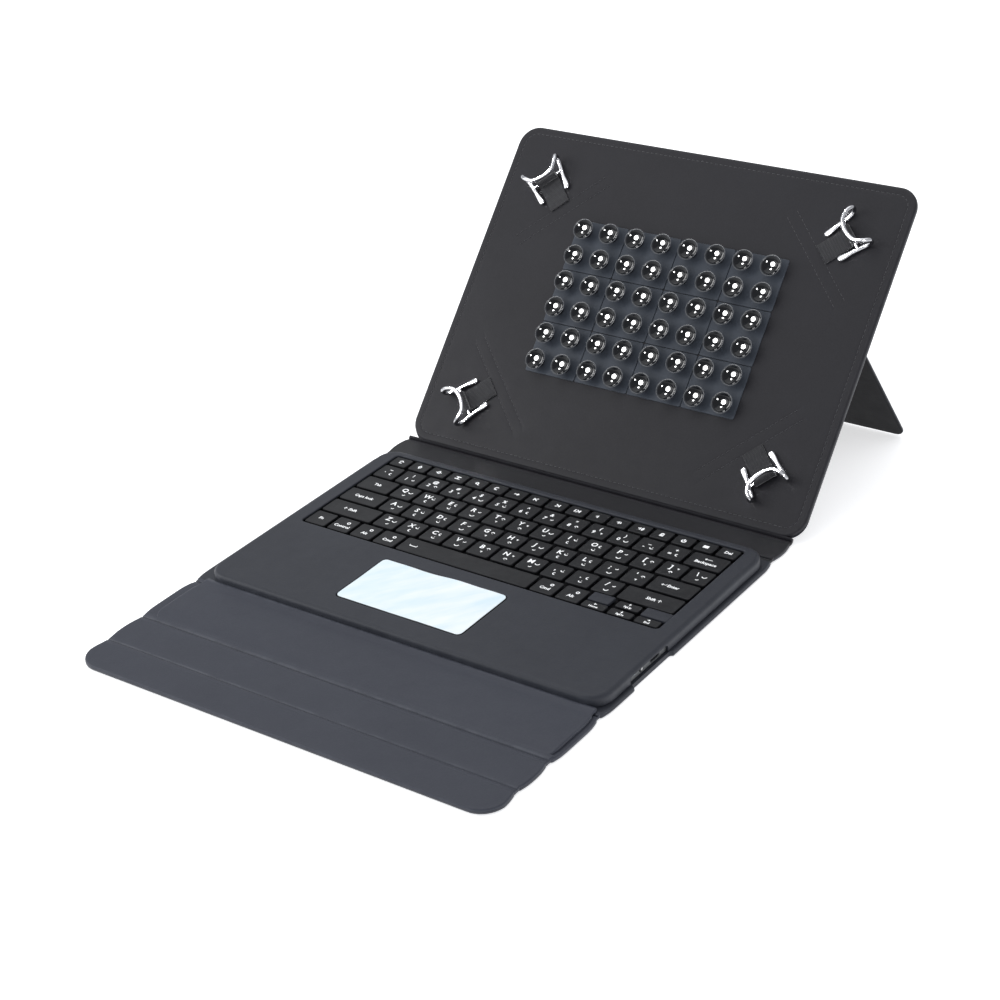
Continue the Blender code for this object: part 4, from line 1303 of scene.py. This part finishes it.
def make_side_controls():
    """The push button with its sign, the status light and the charging socket."""
    x, y, z = side_place("power_button")
    width = limits_of("power_button")[2:4]
    radius = (width[1] - width[0]) / 2
    profile = [(0, -2.0), (radius, -2.0), (radius, -0.25), (radius - 0.08, -0.08), (radius - 0.3, 0.0)]
    profile += [(radius * 0.55, -0.05), (0, -0.12)]
    points, faces = lathe(profile, 40)
    placed = turned_to_x(points, x, y, z)
    cap = add_piece("power_button_cap", placed, faces, LOOKS["black"], "black_plastic")
    attach(cap, "power_button", "power_button")
    points, faces = joined(drawn((arc(0, 0, 0.6, 120, 420, 14), [(0, 0.1), (0, 0.8)]), 0, 0, 0, 0.16))
    placed = turned_to_x(points, x - 0.03, y, z)
    sign = add_piece("power_button_sign", placed, faces, LOOKS["ink"], "black_plastic", sharp=30)
    attach(sign, "power_button")
    points, faces = lathe([(0, -2.2), (0.6, -2.2), (0.6, -0.2), (0.45, 0.02), (0.2, 0.1), (0, 0.12)], 24)
    placed = turned_to_x(points, *side_place("status_led"))
    attach(add_piece("status_light_lens", placed, faces, LOOKS["light"], "light_pipe"), "deck", "status_led")
    make_port()


def make_port():
    """The charging socket: a deep drawn steel shell with a rolled lip."""
    x0, x1, y0, y1, z0, z1 = limits_of("usb_shell")
    half_y, half_z = (y1 - y0) / 2, (z1 - z0) / 2
    wall = 0.3
    levels = ((0.0, x0), (0.0, x1 - 0.1), (0.06, x1), (wall - 0.06, x1), (wall, x1 - 0.1), (wall, x0 + 0.7))
    points, rings = [], []
    for inset, x in levels:
        wide, high = half_y - inset, half_z - inset
        outline = Outline(-wide, wide, -high, high, high - 0.02)
        ring = outline.ring(0, 0.35)
        if rings and len(ring) != len(rings[0]):
            ring = [ring[round(i * len(ring) / len(rings[0])) % len(ring)] for i in range(len(rings[0]))]
        rings.append(list(range(len(points), len(points) + len(ring))))
        points += [(x, (y0 + y1) / 2 + y, (z0 + z1) / 2 + z) for y, z in ring]
    shell = add_piece("port_shell", points, closed(rings), LOOKS["port"], "steel", sharp=35)
    attach(shell, "deck", "usb_shell")


# Back panel


def corner_frame(side_x, side_y):
    """Unit vectors across a panel corner and outwards to it."""
    outwards = np.array((side_x, side_y, 0)) / math.sqrt(2)
    across = np.array((side_x, -side_y, 0)) / math.sqrt(2)
    return across, outwards


CORNERS = {"top_left": (-1, 1), "top_right": (1, 1), "bottom_left": (-1, -1), "bottom_right": (1, -1)}


def hook_centre(label):
    """Middle of a hook on the lining, in the panel frame: the origin of its sideways travel."""
    strap = points_of("hook_strap_" + label, PANEL)
    across, outwards = corner_frame(*CORNERS[label])
    along = strap @ outwards
    middle = (strap @ across).mean()
    centre = across * middle + outwards * (along.max() + STRAP_TO_CENTRE)
    return np.array((centre[0], centre[1], limits_of("panel_lining", PANEL)[5]))


def pocket_lines():
    """Diagonal stitch lines that close each elastic pocket, in the panel frame."""
    lines = []
    for label, sides in CORNERS.items():
        across, outwards = corner_frame(*sides)
        centre = hook_centre(label)
        for distance in POCKET_LINES:
            middle = centre + outwards * distance
            ends = (middle - across * POCKET_REACH, middle + across * POCKET_REACH)
            lines.append(tuple(tuple(end[:2]) for end in ends))
    return lines


def points_beside(start, end):
    """Points along a sewn line and on both sides of it."""
    dx, dy = end[0] - start[0], end[1] - start[1]
    length = math.hypot(dx, dy)
    nx, ny = -dy / length, dx / length
    count = int(length / 2.2)
    return [
        (start[0] + dx * i / count + nx * o, start[1] + dy * i / count + ny * o)
        for i in range(count + 1)
        for o in (-1.4, -0.7, 0.0, 0.7, 1.4)
    ]


def stitch(start, end, z):
    """One stitch: a short thread that dips into the leather at both ends."""
    sx, sy = start
    ex, ey = end
    heights = ((0.0, -0.35), (0.1, 0.0), (0.35, 0.16), (0.65, 0.16), (0.9, 0.0), (1.0, -0.35))
    path = [(sx + (ex - sx) * t, sy + (ey - sy) * t, z + height) for t, height in heights]
    return tube(path, [STITCH_RADIUS * share for share in (0.6, 1, 1, 1, 1, 0.6)], 6)


def stitches_along(path, z):
    """Stitches at an even pitch along a 2D path."""
    path = np.array(path, float)
    gaps = np.hypot(*np.diff(path, axis=0).T)
    reach = np.concatenate([[0], np.cumsum(gaps)])
    count = int(reach[-1] / STITCH_PITCH)
    pitch = reach[-1] / count
    share = STITCH_LENGTH / STITCH_PITCH
    made = []
    for i in range(count):
        ends = []
        for at in (i * pitch + 0.3, (i + share) * pitch + 0.3):
            ends.append((np.interp(at, reach, path[:, 0]), np.interp(at, reach, path[:, 1])))
        made.append(stitch(*ends, z))
    return made


def groove(distance):
    """Depth of the leather's groove at this distance from a row of stitches."""
    return GROOVE * np.exp(-((distance / 0.6) ** 2))


def make_panel():
    lining = limits_of("panel_lining", PANEL)
    face = lining[5]
    lower = Outline(*lining[:4], CORNER)
    lines = pocket_lines()
    extra = [p for line in lines for p in points_beside(*line)]

    def top(x, y, edge, gap):
        height = face - rounding(edge, 1.3) + undulation(x, y, 42, 0.1, 2.0) * np.clip(edge / 8, 0, 1)
        height -= groove(edge - RIM_STITCH)
        for start, end in lines:
            height -= groove(near_line(x, y, start, end))
        return height

    made = sheet(
        "panel_lining_leather", lower, top,
        lambda x, y, edge, gap: np.where(edge < 1.35, -0.05, 1.2),
        LOOKS["panel"], "leather", PANEL,
        insets=(0.0, 0.1, 0.3, 0.7, 1.33, 1.37, *SEWN_INSETS),
        extra=extra,
    )
    attach(made, "back_panel", "panel_lining")
    cover = limits_of("panel_cover", PANEL)
    back = sheet(
        "panel_outer_leather", Outline(*cover[:4], CORNER),
        lambda x, y, edge, gap: -0.06 + 0 * x,
        lambda x, y, edge, gap: cover[4] + rounding(edge, 1.2) + groove(edge - RIM_STITCH),
        LOOKS["outer"], "leather", PANEL,
        insets=(0.0, 0.1, 0.3, 0.7, 1.3, *SEWN_INSETS),
    )
    attach(back, "back_panel", "panel_cover")
    rim = lower.ring(RIM_STITCH, 1.0)
    threads = stitches_along(rim + rim[:1], face - 0.16)
    for start, end in lines:
        threads += stitches_along([start, end], face - 0.14)
    sewn = add_piece("panel_stitching", *joined(threads), LOOKS["thread"], "elastic", PANEL)
    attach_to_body(sewn, "back_panel")
    points, faces = joined(stitches_along(rim + rim[:1], 0.0))
    points[:, 2] = cover[4] + 0.14 - points[:, 2]
    faces = flipped(faces)
    sewn_back = add_piece("panel_back_stitching", points, faces, LOOKS["thread"], "elastic", PANEL)
    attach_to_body(sewn_back, "back_panel")


def make_suction_sheet():
    """Clear rubber tiles of two by two cups on the lining."""
    x0, x1, y0, y1 = limits_of("suction_sheet", PANEL)[:4]
    pitch_x, pitch_y = (x1 - x0 - 1.0) / CUP_COLUMNS, (y1 - y0) / CUP_ROWS
    face = limits_of("panel_lining", PANEL)[5]
    tiles = []
    for i in range(0, CUP_COLUMNS, 2):
        for j in range(0, CUP_ROWS, 2):
            left, low = x0 + 0.5 + i * pitch_x, y0 + j * pitch_y
            right, rear = left + 2 * pitch_x, low + 2 * pitch_y
            at_rim = (i == 0, i == CUP_COLUMNS - 2, j == 0, j == CUP_ROWS - 2)
            trims = [TILE_RIM if side else 0.12 for side in at_rim]
            outline = Outline(left + trims[0], right - trims[1], low + trims[2], rear - trims[3], 1.2)
            flat, faces = triangulated(outline, (0.0, 0.2, 0.5, 1.2), (), (0.0,), FIELD_STEP, ())
            edge = np.clip(outline.inside(*flat.T), 0, None)
            high = face + TILE - rounding(edge, 0.3)
            tiles.append(slab_from(flat, faces, high, np.full(len(flat), face + 0.05)))
    base = add_piece("suction_tiles", *joined(tiles), LOOKS["pad"], "silicone", PANEL)
    attach(base, "back_panel", "suction_sheet")
    points, faces = lathe(CUP_PROFILE, 28)
    reach = np.hypot(points[:, 0], points[:, 1])
    # Cup lips get the pale lip colour, a painted rim highlight.
    rim = np.clip((reach - 5.9) / 0.5, 0, 1) * (points[:, 2] > 5.3)
    cups = [
        (points + (x0 + 0.5 + (i + 0.5) * pitch_x, y0 + (j + 0.5) * pitch_y, face), faces)
        for i in range(CUP_COLUMNS)
        for j in range(CUP_ROWS)
    ]
    rim_highlights = np.tile(rim, len(cups))
    made = add_piece("suction_cups", *joined(cups), LOOKS["cup"], "silicone", PANEL, wear=rim_highlights)
    attach(made, "back_panel")


def make_hooks():
    """Each hook: a bent wire with flattened tips, the low bar between its legs, and its strap."""
    path = smooth_curve([*HOOK_HALF, *((-x, y, z) for x, y, z in reversed(HOOK_HALF[:-1]))], 9)
    wire = tube(rounded_ends(path, WIRE_RADIUS), end_radii(len(path), WIRE_RADIUS), 16)
    bar_path = [(x, BAR_OUT, BAR_HEIGHT) for x in np.linspace(-BAR_REACH, BAR_REACH, 9)]
    bar = tube(bar_path, [BAR_RADIUS] * len(bar_path), 16)
    for label, sides in CORNERS.items():
        turn = np.stack([*corner_frame(*sides), (0, 0, 1.0)])
        centre = hook_centre(label)
        for name, (points, faces), nodes in (
            ("chrome_hook_", flattened(*wire), ["hook_wire_" + label]),
            ("chrome_bar_", bar, []),
        ):
            placed = points @ turn + centre
            made = add_piece(name + label, placed, faced(faces, turn), LOOKS["chrome"], "chrome", PANEL)
            attach(made, "hook_" + label, *nodes)
        make_strap(label, turn, centre)


def faced(faces, turn):
    """The faces, turned over where the corner's frame is a mirrored one."""
    return flipped(faces) if np.linalg.det(turn) < 0 else faces


def flattened(points, faces):
    """The wire with its two tips hammered flat and a little wider."""
    made = points.copy()
    low = points[:, 2] < 2 * HOOK_HALF[0][2]
    share = np.clip((-9.0 - points[:, 1]) / 5.0, 0, 1) * low
    leg = np.sign(points[:, 0]) * 9.8
    made[:, 2] -= (points[:, 2] - HOOK_HALF[0][2]) * 0.4 * share
    made[:, 0] += (points[:, 0] - leg) * 0.3 * share
    return made, faces


def rounded_ends(path, radius):
    """The path with extra points at both ends, for a round cap."""
    start, end = path[0], path[-1]
    back = (path[0] - path[1]) / np.linalg.norm(path[0] - path[1])
    on = (path[-1] - path[-2]) / np.linalg.norm(path[-1] - path[-2])
    reach = [0.98, 0.85, 0.55]
    first = [start + back * radius * r for r in reach]
    last = [end + on * radius * r for r in reversed(reach)]
    return np.array([*first, *path, *last])


def end_radii(count, radius):
    caps = [0.2, 0.53, 0.835]
    return [radius * c for c in caps] + [radius] * count + [radius * c for c in reversed(caps)]


def make_strap(label, turn, centre):
    """Ribbed elastic strap: it leaves its pocket, lies on the lining and loops round the low bar."""
    middle = STRAP_LIFT + STRAP_THICK / 2
    section = [(STRAP_END, STRAP_LIFT)]
    for angle in np.radians(np.arange(-88, 214, 15)):
        section.append((BAR_OUT + STRAP_LOOP * math.cos(angle), BAR_HEIGHT + STRAP_LOOP * math.sin(angle)))
    for out in np.arange(-8.0, -25.0, -1.0):
        section.append((out, STRAP_LIFT + STRAP_THICK + 0.06 * math.sin(out * 1.1)))
    section.append((STRAP_END, STRAP_LIFT + STRAP_THICK))
    half = STRAP_HALF_WIDTH
    stations = [(-half, 0.86), (-half + 0.25, 1.0), (-half / 2, 1.0), (0, 1.0)]
    stations += [(-x, share) for x, share in reversed(stations[:-1])]
    points = []
    for x, share in stations:
        for out, height in section:
            lifted = middle + (height - middle) * share if out < -7 else height
            points.append((x, out, lifted))
    placed = np.array(points) @ turn + centre
    faces = faced(closed(numbered(len(stations), len(section))), turn)
    strap = add_piece("elastic_strap_" + label, placed, faces, LOOKS["elastic"], "elastic", PANEL)
    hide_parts("hook_strap_" + label)
    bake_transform(strap)


def make_kickstand():
    """The leg: outer leather over its lining."""
    x0, x1, _, tip = limits_of("kickstand_cover", LEG)[:4]
    top = limits_of("kickstand_board", LEG)[2]
    radii = (1.0, 1.0, 6.0, 6.0)
    # The lining takes the darker leather, as painted shade on the kickstand.
    for part, node, limits, heights, look, soft in (
        ("outer", "kickstand_cover", (x0, x1, 1.4, tip), (1.4, 2.85, 0.1, 1.0), "outer", 0.05),
        ("lining", "kickstand_board", (x0 + 0.1, x1 - 0.1, top, tip - 0.1), (0.2, 1.42, 0.9, 0.1), "under", 0),
    ):
        name = "kickstand_%s_leather" % part
        layer(name, node, limits, radii, *heights, look, "kickstand", LEG, soft=soft, warp=None)


# CAD nodes that stay, with finished materials


def finish_nodes():
    looks = {
        "deck_tray": "shell", "key_membrane": "membrane", "circuit_board": "circuit", "battery": "foil",
        "touchpad_sensor": "circuit", "usb_tongue": "black", "panel_board": "board", "closure_plate": "steel",
        "flap_magnet_left": "magnet", "flap_magnet_right": "magnet",
    }
    for node, look in looks.items():
        data = frame["nodes"][node].data
        data.materials.clear()
        data.materials.append(LOOKS[look])


# Studio


def make_studio():
    floor = bpy.data.meshes.new("floor")
    corners = [(6.0 * x, 6.0 * y, 0) for x, y in ((-1, -1), (1, -1), (1, 1), (-1, 1))]
    floor.from_pydata(corners, [], [[0, 1, 2, 3]])
    made, tree, shader, place = start_material("pale_floor")
    clouds = noise(tree, place, 0.004, 2.0)
    tone = blend_colours(tree, clouds, (0.86, 0.86, 0.87), (0.9, 0.9, 0.9))
    feed(tree, shader, Base_Color=tone, Roughness=0.7, Emission_Color=tone, Emission_Strength=0.7)
    floor.materials.append(made)
    plane = bpy.data.objects.new("floor", floor)
    plane.location.z = -0.0006
    bpy.context.scene.collection.objects.link(plane)
    world = bpy.data.worlds.new("studio")
    world.use_nodes = True
    light_world(world.node_tree)
    bpy.context.scene.world = world
    aim = Vector((0, 0.18, 0.1))
    shiny = bpy.data.collections.new("shiny_pieces")
    for piece in bpy.data.objects:
        if piece.name.startswith(("suction_cups", "chrome_")):
            shiny.objects.link(piece)
    for name, direction, distance, size, power, receivers in (
        ("key_softbox", (-0.72, -0.585, 0.374), 1.3, (0.95, 0.6), 6.0, None),
        ("top_softbox", (-0.30, 0.10, 1.0), 1.6, (1.4, 1.4), 8.0, None),
        ("large_glint", (-0.427, -0.685, 0.589), 2.2, (1.30, 1.20), 620.0, shiny),
        ("low_glint", (-0.387, -0.208, 0.898), 2.2, (0.46, 0.46), 85.0, shiny),
        ("camera_glint", (0.44, -0.79, 0.41), 2.2, (0.42, 0.42), 85.0, shiny),
    ):
        lamp = add_light(name, aim + Vector(direction).normalized() * distance, aim, size, power)
        lamp.visible_diffuse = receivers is None
        if receivers:
            lamp.light_linking.receiver_collection = receivers


def light_world(tree):
    """Soft cool light from all round, seen by the camera as plain white."""
    soft = tree.nodes["Background"]
    feed(tree, soft, Color=(0.95, 0.97, 1.0), Strength=0.75)
    backdrop = add_node(tree, "Background", Color=(1.0, 1.0, 1.0), Strength=1.05)
    seen = add_node(tree, "LightPath").outputs["Is Camera Ray"]
    pick = add_node(tree, "MixShader", _0=seen, _1=soft.outputs[0], _2=backdrop.outputs[0])
    feed(tree, tree.nodes["World Output"], Surface=pick.outputs[0])


def add_light(name, place, aim, size, power):
    data = bpy.data.lights.new(name, "AREA")
    data.shape = "RECTANGLE" if name.endswith("softbox") else "ELLIPSE"
    data.size, data.size_y = size
    data.energy = power
    lamp = bpy.data.objects.new(name, data)
    lamp.location = place
    lamp.rotation_euler = (Vector(aim) - Vector(place)).to_track_quat("-Z", "Y").to_euler()
    bpy.context.scene.collection.objects.link(lamp)
    return lamp


def make_camera():
    data = bpy.data.cameras.new("camera")
    data.lens = CAMERA_LENS
    data.sensor_width = 36.0
    lens = bpy.data.objects.new("camera", data)
    turn = Vector(CAMERA_DIRECTION).to_track_quat("-Z", "Y").to_matrix()
    lens.matrix_world = (
        Matrix.Translation(CAMERA_PLACE) @ turn.to_4x4() @ Matrix.Rotation(math.radians(-CAMERA_ROLL), 4, "Z")
    )
    bpy.context.scene.collection.objects.link(lens)
    bpy.context.scene.camera = lens
    bpy.context.scene.view_settings.view_transform = "Standard"


make_base()
make_flaps()
make_spine()
make_folds()
make_skin()
make_key_infill()
make_touchpad()
make_keys()
make_side_controls()
make_panel()
make_suction_sheet()
make_hooks()
make_kickstand()
finish_nodes()
make_studio()
make_camera()
